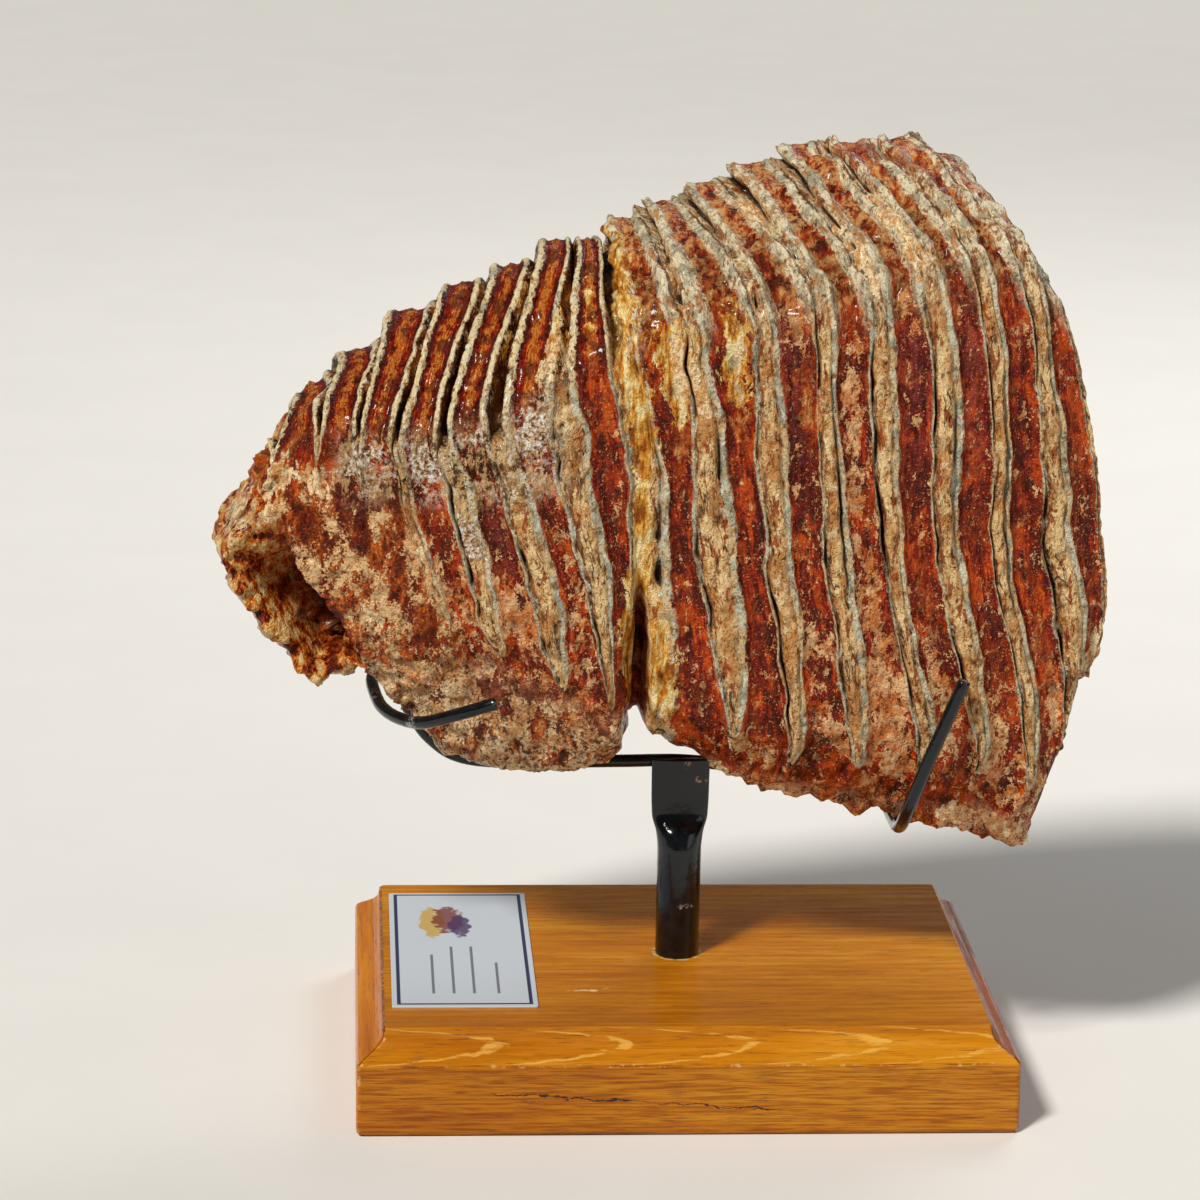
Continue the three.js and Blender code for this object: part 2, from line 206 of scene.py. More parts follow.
# Places on the display side with a look of their own: plate number, place around, their spreads, strength.
SPOTS = {
    # Painted highlights: where the lacquer glints below the kink.
    "painted_glints": [
        (4.08, 5.45, 0.3, 0.3, 1.0), (6.03, 5.58, 0.22, 0.3, 1.0), (4.53, 4.35, 0.2, 0.35, 0.9),
        (2.78, 5.5, 0.35, 0.16, 0.9), (5.15, 5.78, 0.16, 0.12, 0.9), (2.3, 5.25, 0.25, 0.12, 0.7),
    ],
    "dark": [
        (2.55, 5.1, 0.25, 0.15, 0.9), (3.73, 4.97, 0.3, 0.16, 1.0), (5.38, 4.92, 0.25, 0.18, 1.0),
        (5.0, 4.75, 0.25, 0.18, 0.9), (6.9, 5.45, 0.12, 0.15, 1.0), (3.4, 5.85, 0.5, 0.2, 0.8),
        (5.08, 5.95, 0.3, 0.2, 0.8), (6.25, 5.9, 0.2, 0.18, 0.7), (2.6, 5.75, 0.35, 0.18, 0.8),
        (4.3, 5.75, 0.25, 0.15, 0.7), (5.15, 4.5, 0.2, 0.2, 0.7), (6.4, 1.35, 0.9, 0.2, 0.9),
        (4.5, 1.2, 0.9, 0.2, 0.7), (8.2, 1.2, 0.3, 0.15, 0.7), (9.0, 2.0, 0.3, 0.3, 0.9),
        (9.9, 2.2, 0.3, 0.35, 0.8), (8.1, 2.2, 0.2, 0.3, 0.6),
    ],
    "amber": [
        (7.62, 6.4, 0.24, 0.7, 1.0), (7.55, 5.2, 0.22, 0.8, 1.0), (7.5, 4.1, 0.16, 0.8, 1.0),
        (7.66, 2.6, 0.18, 0.8, 0.9), (7.18, 2.7, 0.18, 1.0, 1.0), (7.0, 0.7, 0.4, 0.3, 0.8),
        (8.2, 5.5, 0.3, 0.42, 1.0), (9.08, 5.55, 0.2, 0.45, 1.0), (5.5, 6.5, 0.1, 0.4, 0.9),
        (6.95, 6.35, 0.12, 0.3, 0.7), (6.35, 6.2, 0.18, 0.25, 0.7),
    ],
    "purple": [
        (9.93, 5.2, 0.25, 0.6, 0.8), (12.05, 5.2, 0.25, 0.6, 0.9), (13.05, 5.2, 0.25, 0.6, 0.9),
        (4.9, 4.3, 0.3, 0.5, 0.6),
    ],
    "orange": [
        (10.9, 1.0, 1.5, 0.35, 1.0), (13.4, 0.95, 0.35, 0.25, 1.0), (0.3, 4.4, 0.3, 0.6, 0.7),
        (2.5, 3.3, 0.7, 0.6, 0.9), (3.4, 2.1, 0.6, 0.3, 0.9), (6.1, 2.0, 0.5, 0.3, 0.7),
        (15.2, 1.6, 0.4, 0.6, 0.8), (14.1, 3.4, 0.14, 0.4, 0.7), (8.1, 4.9, 0.2, 0.2, 0.8),
        (9.05, 5.0, 0.2, 0.2, 0.8), (10.15, 5.15, 0.25, 0.35, 1.0), (12.0, 3.6, 0.15, 0.4, 0.7),
        (12.98, 6.9, 0.5, 0.25, 0.9), (13.8, 6.75, 0.4, 0.25, 0.9),
    ],
    "maroon": [
        (2.4, 4.75, 0.6, 0.45, 1.0), (1.93, 4.2, 0.4, 0.4, 0.8), (3.0, 4.1, 0.25, 0.7, 0.6),
        (11.3, 0.7, 0.7, 0.25, 0.9), (5.0, 1.95, 0.7, 0.25, 0.9), (4.1, 1.7, 0.5, 0.2, 0.8),
        (6.3, 1.75, 0.35, 0.2, 0.8),
    ],
    "peach": [
        (11.0, 2.6, 0.3, 0.7, 1.0), (11.9, 2.7, 0.25, 0.8, 0.8), (12.75, 2.3, 0.35, 0.6, 1.0),
        (10.15, 2.3, 0.3, 0.35, 0.8), (9.95, 3.15, 0.2, 0.3, 0.8), (8.9, 1.7, 0.35, 0.25, 0.8),
        (10.9, 4.4, 0.2, 0.6, 0.5), (3.5, 3.3, 0.35, 0.6, 0.9), (4.93, 3.3, 0.3, 0.5, 0.8),
        (13.6, 2.0, 0.5, 0.5, 0.9), (14.1, 2.8, 0.2, 0.5, 0.7), (10.05, 5.75, 0.2, 0.4, 0.9),
        (11.05, 5.0, 0.16, 0.3, 0.8), (12.0, 5.8, 0.2, 0.25, 0.8), (11.0, 3.6, 0.2, 0.5, 0.7),
    ],
    "cream": [
        (8.35, 1.1, 0.45, 0.2, 0.8), (9.7, 1.05, 0.35, 0.14, 0.6), (12.6, 1.35, 0.5, 0.25, 0.6),
        (13.6, 1.3, 0.7, 0.25, 0.6), (15.1, 1.0, 0.35, 0.2, 1.0), (15.3, 2.7, 0.25, 0.35, 0.9),
        (0.05, 5.4, 0.25, 0.4, 0.9), (0.9, 5.2, 0.3, 0.2, 0.8), (0.55, 5.55, 0.35, 0.25, 0.8),
        (1.5, 5.05, 0.3, 0.22, 0.9), (1.75, 3.0, 0.3, 0.25, 0.8), (3.5, 3.9, 0.25, 0.5, 0.6),
        (6.3, 6.1, 0.25, 0.25, 0.6), (12.4, 6.2, 0.2, 0.3, 1.0), (11.5, 6.1, 0.15, 0.3, 0.7),
        (8.5, 5.3, 0.12, 0.25, 0.9), (8.3, 5.5, 0.16, 0.28, 0.8), (9.1, 5.5, 0.08, 0.3, 0.7),
        (0.35, 5.0, 0.25, 0.3, 0.8), (0.75, 4.8, 0.2, 0.25, 0.7), (10.38, 6.7, 0.2, 0.15, 0.9),
        (8.62, 1.85, 0.2, 0.25, 0.7), (13.95, 1.9, 0.25, 0.35, 0.8),
    ],
}


def along_plates(values, at):
    """Smooth values along the plate rows at plate numbers."""
    last = len(PLATE_AT) - 1
    row = np.clip(np.searchsorted(PLATE_AT, at, "right") - 1, 0, last - 1)
    t = (at - PLATE_AT[row]) / (PLATE_AT[row + 1] - PLATE_AT[row])
    near = [values[np.clip(row + step, 0, last)] for step in (-1, 0, 1, 2)]
    return blend4(*near, t[:, None] if values.ndim > 1 else t)


def stepped(at):
    """Plate tops are steps: nearly level over a plate, dropping at the gap to the next one."""
    plate = np.round(at)
    offset = at - plate
    return plate + 0.25 * offset + 0.375 * np.sign(offset) * np.abs(2 * offset) ** 6


def section_loops(at, crest_at):
    """The closed loop of control points round the tooth at each plate number."""
    half = along_plates(HALF, at)
    crest_x = along_plates(CREST, at)[:, 0]
    crest_z = along_plates(CREST, np.clip(stepped(crest_at), 0, LAST_PLATE))[:, 1]
    shoulder_x, shoulder_z = along_plates(SHOULDER, at).T
    high_x, mid_x, low_x = along_plates(FLANK, at).T
    neck_x, neck_z = along_plates(NECK, at).T
    foot_x, foot_z = along_plates(FOOT, at).T
    high_z, mid_z, low_z = (shoulder_z + (neck_z - shoulder_z) * drop for drop in FLANK_DROP)
    crest_y = 2 + 13 * smoothstep(4, 13, at)
    skew = PLATE_SKEW * smoothstep(3, 13, at)
    front = {name: -bulge * half for name, bulge in FRONT_BULGE.items()}
    back = {name: bulge * half for name, bulge in BACK_BULGE.items()}
    points = [
        (foot_x, 0 * at, foot_z + ROOT_GROOVE),
        (foot_x, front["foot"], foot_z),
        (neck_x, front["neck"], neck_z),
        (low_x, front["low"], low_z),
        (mid_x, front["mid"], mid_z),
        (high_x, front["high"], high_z),
        (shoulder_x, front["shoulder"], shoulder_z),
        (crest_x, crest_y, crest_z),
        (crest_x + 0.25 * (shoulder_x - crest_x), back["shoulder"], (shoulder_z + crest_z) / 2),
        (high_x - skew, back["high"], high_z),
        (low_x - 0.8 * skew, back["low"], low_z),
        (neck_x - 0.6 * skew, back["neck"], neck_z),
        (foot_x - 0.4 * skew, back["foot"], foot_z + 1),
    ]
    return np.stack([np.stack(point, -1) for point in points], 1)


def on_loops(loops, around):
    """The point of each loop at its place around."""
    first = np.floor(around).astype(int)
    rows = np.arange(len(around))
    near = [loops[rows, (first + step) % LOOP_POINTS] for step in (-1, 0, 1, 2)]
    return blend4(*near, (around - first)[:, None])


def side_of(around):
    """The matching place on the display side, from 0 under the tooth to 7 at the crest."""
    back = (LOOP_POINTS - around) * CREST_POINT / (LOOP_POINTS - CREST_POINT)
    return np.where(around <= CREST_POINT, around, back)


def opposite_of(around):
    """The place across the tooth from each place."""
    share = (LOOP_POINTS - CREST_POINT) / CREST_POINT
    return np.where(around <= CREST_POINT, LOOP_POINTS - around * share, side_of(around)) % LOOP_POINTS


def hollow_share(plate, around):
    """How deep in the hollow under the nose each place is; the crown's edge cuts it off sharply."""
    tall = smoothstep(1.35, 1.9, around) * (1 - smoothstep(3.0, 4.7, around))
    return smoothstep(0.1, 0.72, plate) * (plate < 0.985) * tall * (around <= CREST_POINT)


def at_gap(values, gap):
    return values[np.clip(np.round(gap - GAP_AT[0]).astype(int), 0, len(GAP_AT) - 1)]


def cement_half(gap, side):
    lower = mix(at_gap(GAP_NECK, gap), at_gap(GAP_FLANK, gap), smoothstep(2.2, 3.6, side))
    left = gap < 8
    rise = np.where(left, smoothstep(5.3, 6.1, side), smoothstep(4.6, 5.7, side))
    return mix(lower, at_gap(GAP_TOP, gap), rise)


def tooth_columns():
    """Gap, hand and band step of each column of the tooth's mesh, from the nose to the back."""
    columns = []
    for gap in GAP_AT:
        for hand in (-1, 1):
            if gap == LAST_PLATE and hand == 1:
                continue
            steps = sorted(set(BAND_STEPS) | set(EXTRA_STEPS.get((gap, hand), ())), reverse=hand < 0)
            columns += [(gap, hand, step) for step in (steps[1:] if columns else steps)]
    return np.array(columns)


def tooth_grid():
    """The tooth's mesh grid: its columns follow the bands of the plates, its rows go round it."""
    columns = tooth_columns()
    rows = len(ROW_AROUND)
    gap, hand, step = (np.repeat(columns[:, i], rows) for i in range(3))
    around = np.tile(ROW_AROUND, len(columns))
    return {
        "shape": (len(columns), rows),
        "gap": gap,
        "hand": hand,
        "step": step,
        "around": around,
        "side": side_of(around),
    }


def lay_bands(grid):
    """Works out each vertex's plate number and the band of the plate it is in."""
    side, gap, hand, step = (grid[name] for name in ("side", "gap", "hand", "step"))
    ragged = np.stack([grid["around"] * 24, gap * 31, hand * 7.0], -1)
    cement = 1 + 0.35 * noise_at(ragged, 11, 2, 1) + 0.3 * noise_at(ragged, 45, 1, 15)
    cement = cement_half(gap, side) * cement
    chewed = smoothstep(5.3, 6.1, side)
    top = mix(ENAMEL_TOP[0], ENAMEL_TOP[1], smoothstep(7, 8, gap))
    flank = ENAMEL_FLANK * np.where(hand < 0, 0.62, 1.05)
    enamel = 1 + 0.35 * noise_at(ragged, 12, 2, 2) + 0.35 * noise_at(ragged, 40, 1, 19)
    enamel = mix(flank, top, chewed) * enamel
    laid_cement = np.maximum(cement, THIN_CEMENT)
    laid_enamel = np.maximum(enamel, THIN_ENAMEL)
    offset = (
        laid_cement * np.clip(step, 0, 1)
        + laid_enamel * np.clip(step - 1, 0, 1)
        + (0.5 - laid_cement - laid_enamel) * np.clip(step - 2, 0, 1)
    )
    end = at_gap(GAP_END, gap) + 0.16 * noise_at(ragged, 40, 1, 3)
    border = cement * np.sqrt(np.clip((side - end) / 0.7, 0, 1))
    rim = (cement + enamel) * np.sqrt(np.clip((side - end + 0.06) / 0.75, 0, 1))
    closed = rim < 0.01
    rim = np.maximum(rim, border + 0.01)
    in_cement = offset / np.maximum(border, 1e-3)
    in_enamel = 1 + (offset - border) / (rim - border)
    in_dentine = 2 + (offset - rim) / (0.5 - rim)
    band = np.where(offset < border, in_cement, np.where(offset < rim, in_enamel, in_dentine))
    grid["band"] = np.where(closed, 2 + 2 * offset, band)
    grid["plate"] = np.clip(gap + hand * offset, 0, LAST_PLATE)
    neck = np.where(gap < 8, 2.05, 1.5)
    grid["below"] = np.minimum(end, neck + 0.25 * noise_at(ragged, 12, 3, 16)) - side


def grid_normals(points, shape):
    """Outward normals of a grid of closed rings, from its neighbours."""
    net = points.reshape(*shape, 3)
    along = np.empty_like(net)
    along[1:-1] = net[2:] - net[:-2]
    along[0] = net[1] - net[0]
    along[-1] = net[-1] - net[-2]
    up = np.roll(net, -1, axis=1) - np.roll(net, 1, axis=1)
    normal = np.cross(along, up)
    normal /= np.maximum(np.linalg.norm(normal, axis=2, keepdims=True), 1e-9)
    return normal.reshape(-1, 3)


def cleft_share(plate, around):
    """How deep in the cleft between the roots each place is: a slope on the left, then a narrow slot."""
    wider = np.clip(3.4 - around, 0, 1.6)
    low = 7.4 - 0.12 * wider
    high = 7.5 + 0.02 * wider
    slope = 0.3 * smoothstep(low - 0.4, low, plate)
    slot = 0.7 * smoothstep(low - 0.05, low + 0.06, plate)
    tall = (1 - smoothstep(2.9, 3.75, around)) * (around <= CREST_POINT)
    return (slope + slot) * (1 - smoothstep(high, high + 0.08, plate)) * tall


def tooth_regions(grid):
    """Shares of the regions: the chewed top, the skin that hides the front plates, and the roots."""
    side, plate, around = grid["side"], grid["plate"], grid["around"]
    grid["worn"] = smoothstep(5.55, 6.1, side)
    grid["skin"] = (1 - smoothstep(2.9, 3.9, plate)) * (1 - smoothstep(4.7, 5.3, side))
    grid["nose"] = (1 - smoothstep(0.85, 1.0, plate)) * (1 - smoothstep(5.2, 6.0, side))
    grid["root"] = smoothstep(0.0, 0.3, grid["below"])
    grid["kink"] = plateau(2.2, 6.2, 0.5, plate) * plateau(5.0, 5.7, 0.35, around)
    right = smoothstep(7.3, 7.8, plate)
    dust = mix(1, 0.4, right) * (1 - smoothstep(2.6, 4.4, side)) * smoothstep(2.5, 4.0, plate)
    dust += 0.7 * plateau(3.0, 6.3, 0.5, plate) * (1 - smoothstep(4.6, 5.3, side))
    for number, extra in PLATE_DUST.items():
        dust += extra * plateau(number - 0.3, number + 0.3, 0.15, plate) * (1 - 0.6 * grid["worn"])
    grid["dust"] = dust
    slot = smoothstep(0.3, 0.5, cleft_share(plate, around))
    grid["hollow"] = hollow_share(plate, around) * smoothstep(0.25, 0.6, plate) + slot
    # The deepest parts of the nose's hollow and of the cleft, which the material darkens as painted shade.
    grid["deep"] = hollow_share(plate, around) * smoothstep(0.5, 0.9, plate)
    grid["deep"] += 0.3 * smoothstep(0.5, 0.95, cleft_share(plate, around))
    for name, spots in SPOTS.items():
        total = np.zeros_like(plate)
        for at, place, wide, tall, strength in spots:
            away = ((plate - at) / wide) ** 2 + ((around - place) / tall) ** 2
            total = np.maximum(total, strength * np.exp(-away))
        grid[name] = total


def knobs_at(points):
    """Height of the knobs that cover the nose."""
    return 2.2 * noise_at(points, 7, 3, 14) + 1.6 * noise_at(points, 4.5, 4, 4)


def tooth_relief(grid, points):
    """How far each vertex stands out along its normal."""
    side, band, gap, hand, plate = (grid[name] for name in ("side", "band", "gap", "hand", "plate"))
    worn, skin, root, around = grid["worn"], grid["skin"], grid["root"], grid["around"]
    left = 1 - smoothstep(7.4, 7.6, plate)
    lumps = noise_at(points, 4.5, 4, 4)
    fine = noise_at(points, 1.6, 3, 5)
    crust = noise_at(points * np.array([1.5, 1.0, 0.8]), 3.0, 4, 13)
    along_gap = np.stack([gap * 23 + hand * 5, side * 9, 0 * side], -1)
    groove = np.clip(0.5 + 1.6 * noise_at(along_gap, 4.2, 3, 6), 0, 1.7)
    groove = groove * np.where(gap == CLEFT_GAP, np.where(hand < 0, 0.1, 0.7), np.where(hand < 0, 1.0, 0.2))

    calm = 1 - 0.5 * worn * (1 - left)
    crust = crust * calm
    fine = fine * calm
    cement = 0.7 + 0.6 * lumps + 0.7 * crust
    slot_noise = noise_at(along_gap, 2.4, 2, 7)
    slot_left = -1.5 * at_gap(GAP_SLOT, gap) * np.clip(0.85 + 0.6 * slot_noise, 0.3, 1.4)
    crest = smoothstep(6.3, 6.8, side)
    pit_noise = noise_at(along_gap * np.array([1, 2.0, 1]), 2.4, 2, 7)
    pits = np.maximum(smoothstep(0.0, 0.35, pit_noise), 0.9 * crest) * (1 - smoothstep(0.1, 0.5, band))
    slot_right = 0.5 + 0.8 * crust - 1.9 * at_gap(GAP_SLOT, gap) * pits
    slot = mix(slot_right, slot_left, left)
    cement = mix(cement, slot, worn) * (1 - smoothstep(0.72, 1.05, band))
    rib = np.sin(np.pi * np.clip(band - 1, 0.001, 0.999)) ** mix(0.7, 0.4, worn * left)
    enamel_top = mix(1.1 - 0.7 * crest, 0.7, left) + 0.4 * crust
    enamel = mix(0.2 + 0.25 * fine + 0.25 * crust, enamel_top, worn) * rib
    low = mix(-1.7, -0.3, crest)
    dentine = mix(-1.4, mix(low, -0.35, left), worn) + 0.5 * lumps + 0.35 * fine + 0.4 * crust
    dentine = dentine * smoothstep(1.95, 2.25, band)
    dentine += 0.5 * np.exp(-(((band - 3) / 0.25) ** 2)) * worn * left
    plates = np.where(band < 1, cement, np.where(band < 2, enamel, dentine))
    crevice = -2.8 * groove * np.exp(-(((band - 0.96) / 0.2) ** 2)) * (1 - worn)
    for low_u, high_u, low_v, high_v, wide, depth in GROOVES:
        middle = low_u + (high_u - low_u) * (around - low_v) / (high_v - low_v)
        across = np.exp(-(((plate - middle) / wide) ** 2))
        crevice = crevice - depth * across * plateau(low_v, high_v, 0.25, around)
    # Kept for the material, which paints shade where this relief sinks deep.
    grid["relief"] = (plates + crevice) * (1 - 0.85 * skin) * (1 - root)

    knobs = noise_at(points, 7, 3, 14)
    relief = (plates + crevice) * (1 - 0.85 * skin) * (1 - 0.9 * root)
    relief += skin * (0.8 * lumps + 0.5 * fine + 0.9 * crust + 0.5 * knobs)
    relief += root * (1.3 * noise_at(points, 8, 2, 8) + 0.8 * lumps + 0.5 * fine)
    relief += 0.6 * noise_at(points, 14, 2, 9)
    relief += worn * (1 - left) * (mix(1.9, 1.2, crest) * knobs + 2.2 * crest * noise_at(points, 12, 2, 21))
    low_edge = smoothstep(8, 9, plate) * (1 - smoothstep(0.9, 1.5, around)) * (around <= CREST_POINT)
    relief += low_edge * 2.0 * noise_at(points, 5, 3, 18)
    fold = np.exp(-(((plate - 1.07) / 0.07) ** 2)) * (1 - smoothstep(4.4, 5.0, around))
    relief += fold * (around <= CREST_POINT) * (1.0 + 0.8 * fine + 0.8 * lumps)
    grid["knob"] = knobs_at(points)
    relief += (1 - smoothstep(0.7, 1.0, plate)) * (1 - smoothstep(5.6, 6.2, side)) * grid["knob"]
    relief += hollow_share(plate, around) * (2.0 * noise_at(points, 6, 4, 17) + 1.0 * lumps)
    return relief


def pocket_push(grid):
    """How far each vertex is pushed back into the hollow under the nose and the cleft between the roots."""
    plate, around = grid["plate"], grid["around"]
    valley = plateau(7.4, 7.62, 0.2, plate) * plateau(3.4, 6.4, 0.6, around)
    hollows = NOSE_PUSH * hollow_share(plate, around) + CLEFT_PUSH * cleft_share(plate, around)
    return hollows + VALLEY_PUSH * valley


def tooth_points(grid):
    """The tooth's surface: the smooth form, wavering plates, relief, then the two hollows."""
    plate, around = grid["plate"], grid["around"]
    smooth = on_loops(section_loops(plate, plate), around)
    inside = plateau(0.6, 14.9, 0.5, plate)
    waver = inside * (0.075 * noise_at(smooth, 15, 2, 10) + 0.015 * noise_at(smooth, 4, 2, 11))
    points = on_loops(section_loops(plate + waver, plate), around)
    points += grid_normals(points, grid["shape"]) * tooth_relief(grid, points)[:, None]
    points[:, 0] -= 2.4 * smoothstep(14.3, 15.2, plate) * (1 - smoothstep(2.15, 2.4, grid["side"]))
    for x, y, z, radius, push in LUMPS:
        away = np.linalg.norm(points - np.array([x, y, z]), axis=1)
        points += np.exp(-((away / radius) ** 2) * 1.6)[:, None] * np.array(push)
    points[:, 1] += pocket_push(grid)
    return points


def ring_faces(rings, count):
    """Quads between closed rings that follow each other."""
    low = (np.arange(rings - 1)[:, None] * count + np.arange(count)).ravel()
    step = np.tile((np.arange(count) + 1) % count - np.arange(count), rings - 1)
    return np.stack([low, low + count, low + count + step, low + step], -1).tolist()


def stack_faces(rings, count):
    """The faces of a stack of rings that is closed at both ends, all facing out."""
    last = (rings - 1) * count
    sides = [face[::-1] for face in ring_faces(rings, count)]
    return [*sides, list(range(count))[::-1], list(range(last, last + count))]


def strip_faces(ring, side, flip):
    """Triangles that close a ring of vertices, between its front and back halves."""
    turn = int(np.argmax(side))
    front = list(range(0, turn + 1))
    back = [0] + list(range(len(ring) - 1, turn - 1, -1))
    faces = []
    i = j = 0
    while i < len(front) - 1 or j < len(back) - 1:
        front_next = side[front[i + 1]] if i < len(front) - 1 else math.inf
        back_next = side[back[j + 1]] if j < len(back) - 1 else math.inf
        if front_next <= back_next:
            face = (front[i], front[i + 1], back[j])
            i += 1
        else:
            face = (front[i], back[j + 1], back[j])
            j += 1
        if len(set(face)) == 3:
            faces.append([ring[k] for k in (face[::-1] if flip else face)])
    return faces


def end_dome(ring, outward):
    """Rings that close an end of the tooth with a low dome over the line midway between its two sides."""
    opposite = opposite_of(ROW_AROUND)
    axes = [np.interp(opposite, ROW_AROUND, ring[:, axis], period=LOOP_POINTS) for axis in range(3)]
    across = np.stack(axes, -1)
    rings = []
    for share in END_SHARES:
        shrunk = mix(ring, across, share / 2)
        rise = outward * math.sin(share * math.pi / 2)
        shrunk[:, 0] += rise * END_BULGE
        shrunk[:, 0] += rise * END_KNOBS * knobs_at(shrunk)
        rings.append(shrunk)
    return rings


def make_piece(name, points, faces, material, smooth=True):
    """A piece from points in millimetres."""
    mesh = bpy.data.meshes.new(name)
    mesh.from_pydata((np.asarray(points, float) * MM).tolist(), [], faces)
    mesh.update()
    if smooth:
        mesh.shade_smooth()
    mesh.materials.append(material)
    piece = bpy.data.objects.new(name, mesh)
    bpy.context.scene.collection.objects.link(piece)
    return piece


def store(piece, name, values):
    """Keeps one value, or one vector, per vertex for the material to read."""
    values = np.asarray(values, np.float32)
    if values.ndim > 1:
        layer = piece.data.attributes.new(name, "FLOAT_VECTOR", "POINT")
        layer.data.foreach_set("vector", values.ravel())
    else:
        layer = piece.data.attributes.new(name, "FLOAT", "POINT")
        layer.data.foreach_set("value", values)


TOOTH_VALUES = (
    "band", "worn", "skin", "root", "kink", "dust", "hollow", "deep", "nose", "knob", "relief", "plate",
    "laid",
)


def tooth_piece():
    grid = tooth_grid()
    lay_bands(grid)
    tooth_regions(grid)
    points = tooth_points(grid)
    columns, rows = grid["shape"]
    net = points.reshape(columns, rows, 3)
    steps = np.linalg.norm(np.diff(net, axis=1), axis=2)
    length = np.concatenate([np.zeros((columns, 1)), np.cumsum(steps, axis=1)], axis=1)
    grid["laid"] = np.stack([grid["plate"] * 14, length.ravel(), grid["hand"]], -1)

    nose = end_dome(net[0], -1)[::-1]
    rear = end_dome(net[-1], 1)
    domes = len(nose)
    points = np.concatenate([*nose, points, *rear])
    faces = ring_faces(columns + 2 * domes, rows)
    last = (columns + 2 * domes - 1) * rows
    side = side_of(ROW_AROUND)
    faces += strip_faces(list(range(rows)), side, False)
    faces += strip_faces(list(range(last, last + rows)), side, True)

    piece = make_piece("tooth_molar", points, faces, tooth_material())
    for name in (*TOOTH_VALUES, *SPOTS):
        values = grid[name]
        front = np.concatenate([values[:rows]] * domes)
        behind = np.concatenate([values[-rows:]] * domes)
        if name == "knob":
            front = knobs_at(points[: domes * rows])
        if name == "skin":
            behind = np.repeat(smoothstep(0, 0.5, np.array(END_SHARES)), rows)
        store(piece, name, np.concatenate([front, values, behind]))
    return piece


class Graph:
    """One procedural material."""

    def __init__(self, name):
        self.material = bpy.data.materials.new(name)
        self.material.use_nodes = True
        self.tree = self.material.node_tree
        self.shader = self.tree.nodes["Principled BSDF"]

    def join(self, value, socket):
        """Gives an input a field or a plain value; a plain colour is red, green and blue from 0 to 255."""
        if isinstance(value, Field):
            self.tree.links.new(value.socket, socket)
        elif socket.type == "RGBA":
            socket.default_value = srgb(*value)
        else:
            socket.default_value = value

    def add(self, kind, inputs, output=0, **settings):
        node = self.tree.nodes.new(kind)
        for name, value in settings.items():
            setattr(node, name, value)
        for name, value in inputs.items():
            self.join(value, node.inputs[name])
        return Field(self, node.outputs[output])

    def value(self, name, output="Fac"):
        """What the mesh keeps under a name at each vertex."""
        return self.add("ShaderNodeAttribute", {}, output, attribute_name=name)

    def place(self):
        """The place on the object in millimetres."""
        return self.add("ShaderNodeTexCoord", {}, "Object").stretch(1 / MM, 1 / MM, 1 / MM)

    def patch(self, name, ragged):
        """A spot's strength, with a ragged edge in place of its soft one."""
        strength = self.value(name)
        return (strength + (ragged - 0.5) * 2.6).rise(0.36, 0.46) * strength.rise(0.04, 0.2)

    def finish(self, inputs):
        for name, value in inputs.items():
            self.join(value, self.shader.inputs[name])
        return self.material


class Field:
    """A number, place or colour that a material's nodes work out over the surface."""

    def __init__(self, graph, socket):
        self.graph = graph
        self.socket = socket

    def math(self, operation, other=0.0):
        return self.graph.add("ShaderNodeMath", {0: self, 1: other}, operation=operation)

    def __add__(self, other):
        return self.math("ADD", other)

    def __sub__(self, other):
        return self.math("SUBTRACT", other)

    def __mul__(self, other):
        return self.math("MULTIPLY", other)

    def __abs__(self):
        return self.math("ABSOLUTE")

    def most(self, other):
        return self.math("MAXIMUM", other)

    def turn(self, low, high, below, above):
        """One value below low, another above high, and a smooth turn between."""
        inputs = {"Value": self, "From Min": low, "From Max": high, "To Min": below, "To Max": above}
        return self.graph.add("ShaderNodeMapRange", inputs, interpolation_type="SMOOTHSTEP")

    def rise(self, low, high, top=1.0):
        return self.turn(low, high, 0.0, top)

    def fall(self, low, high, top=1.0):
        return self.turn(low, high, top, 0.0)

    def near(self, middle, inner, outer, top=1.0):
        """The top value close to the middle, fading to zero between the two distances."""
        return abs(self - middle).fall(inner, outer, top)

    def mix(self, a, b):
        """From colour a where this share is zero to colour b where it is one."""
        return self.graph.add("ShaderNodeMix", {0: self, 6: a, 7: b}, 2, data_type="RGBA")

    def times(self, tint):
        """This colour multiplied by another one."""
        inputs = {0: 1.0, 6: self, 7: tint}
        return self.graph.add("ShaderNodeMix", inputs, 2, data_type="RGBA", blend_type="MULTIPLY")

    def ramp(self, *stops):
        """Colours by value: each stop is its place, then red, green and blue."""
        node = self.graph.tree.nodes.new("ShaderNodeValToRGB")
        self.graph.join(self, node.inputs[0])
        elements = node.color_ramp.elements
        while len(elements) < len(stops):
            elements.new(0.5)
        for element, (place, *tone) in zip(elements, stops):
            element.position = place
            element.color = srgb(*tone)
        return Field(self.graph, node.outputs[0])

    def stretch(self, *scale):
        return self.graph.add("ShaderNodeMapping", {"Vector": self, "Scale": scale})

    def axes(self):
        node = self.graph.tree.nodes.new("ShaderNodeSeparateXYZ")
        self.graph.join(self, node.inputs[0])
        return [Field(self.graph, output) for output in node.outputs]

    def noise(self, size, detail=3, rough=0.55, distort=0.0):
        inputs = {"Vector": self, "Scale": 1 / size, "Detail": detail}
        inputs |= {"Roughness": rough, "Distortion": distort}
        return self.graph.add("ShaderNodeTexNoise", inputs, "Fac")

    def bump(self, strength, distance):
        inputs = {"Height": self, "Strength": strength, "Distance": distance}
        return self.graph.add("ShaderNodeBump", inputs)


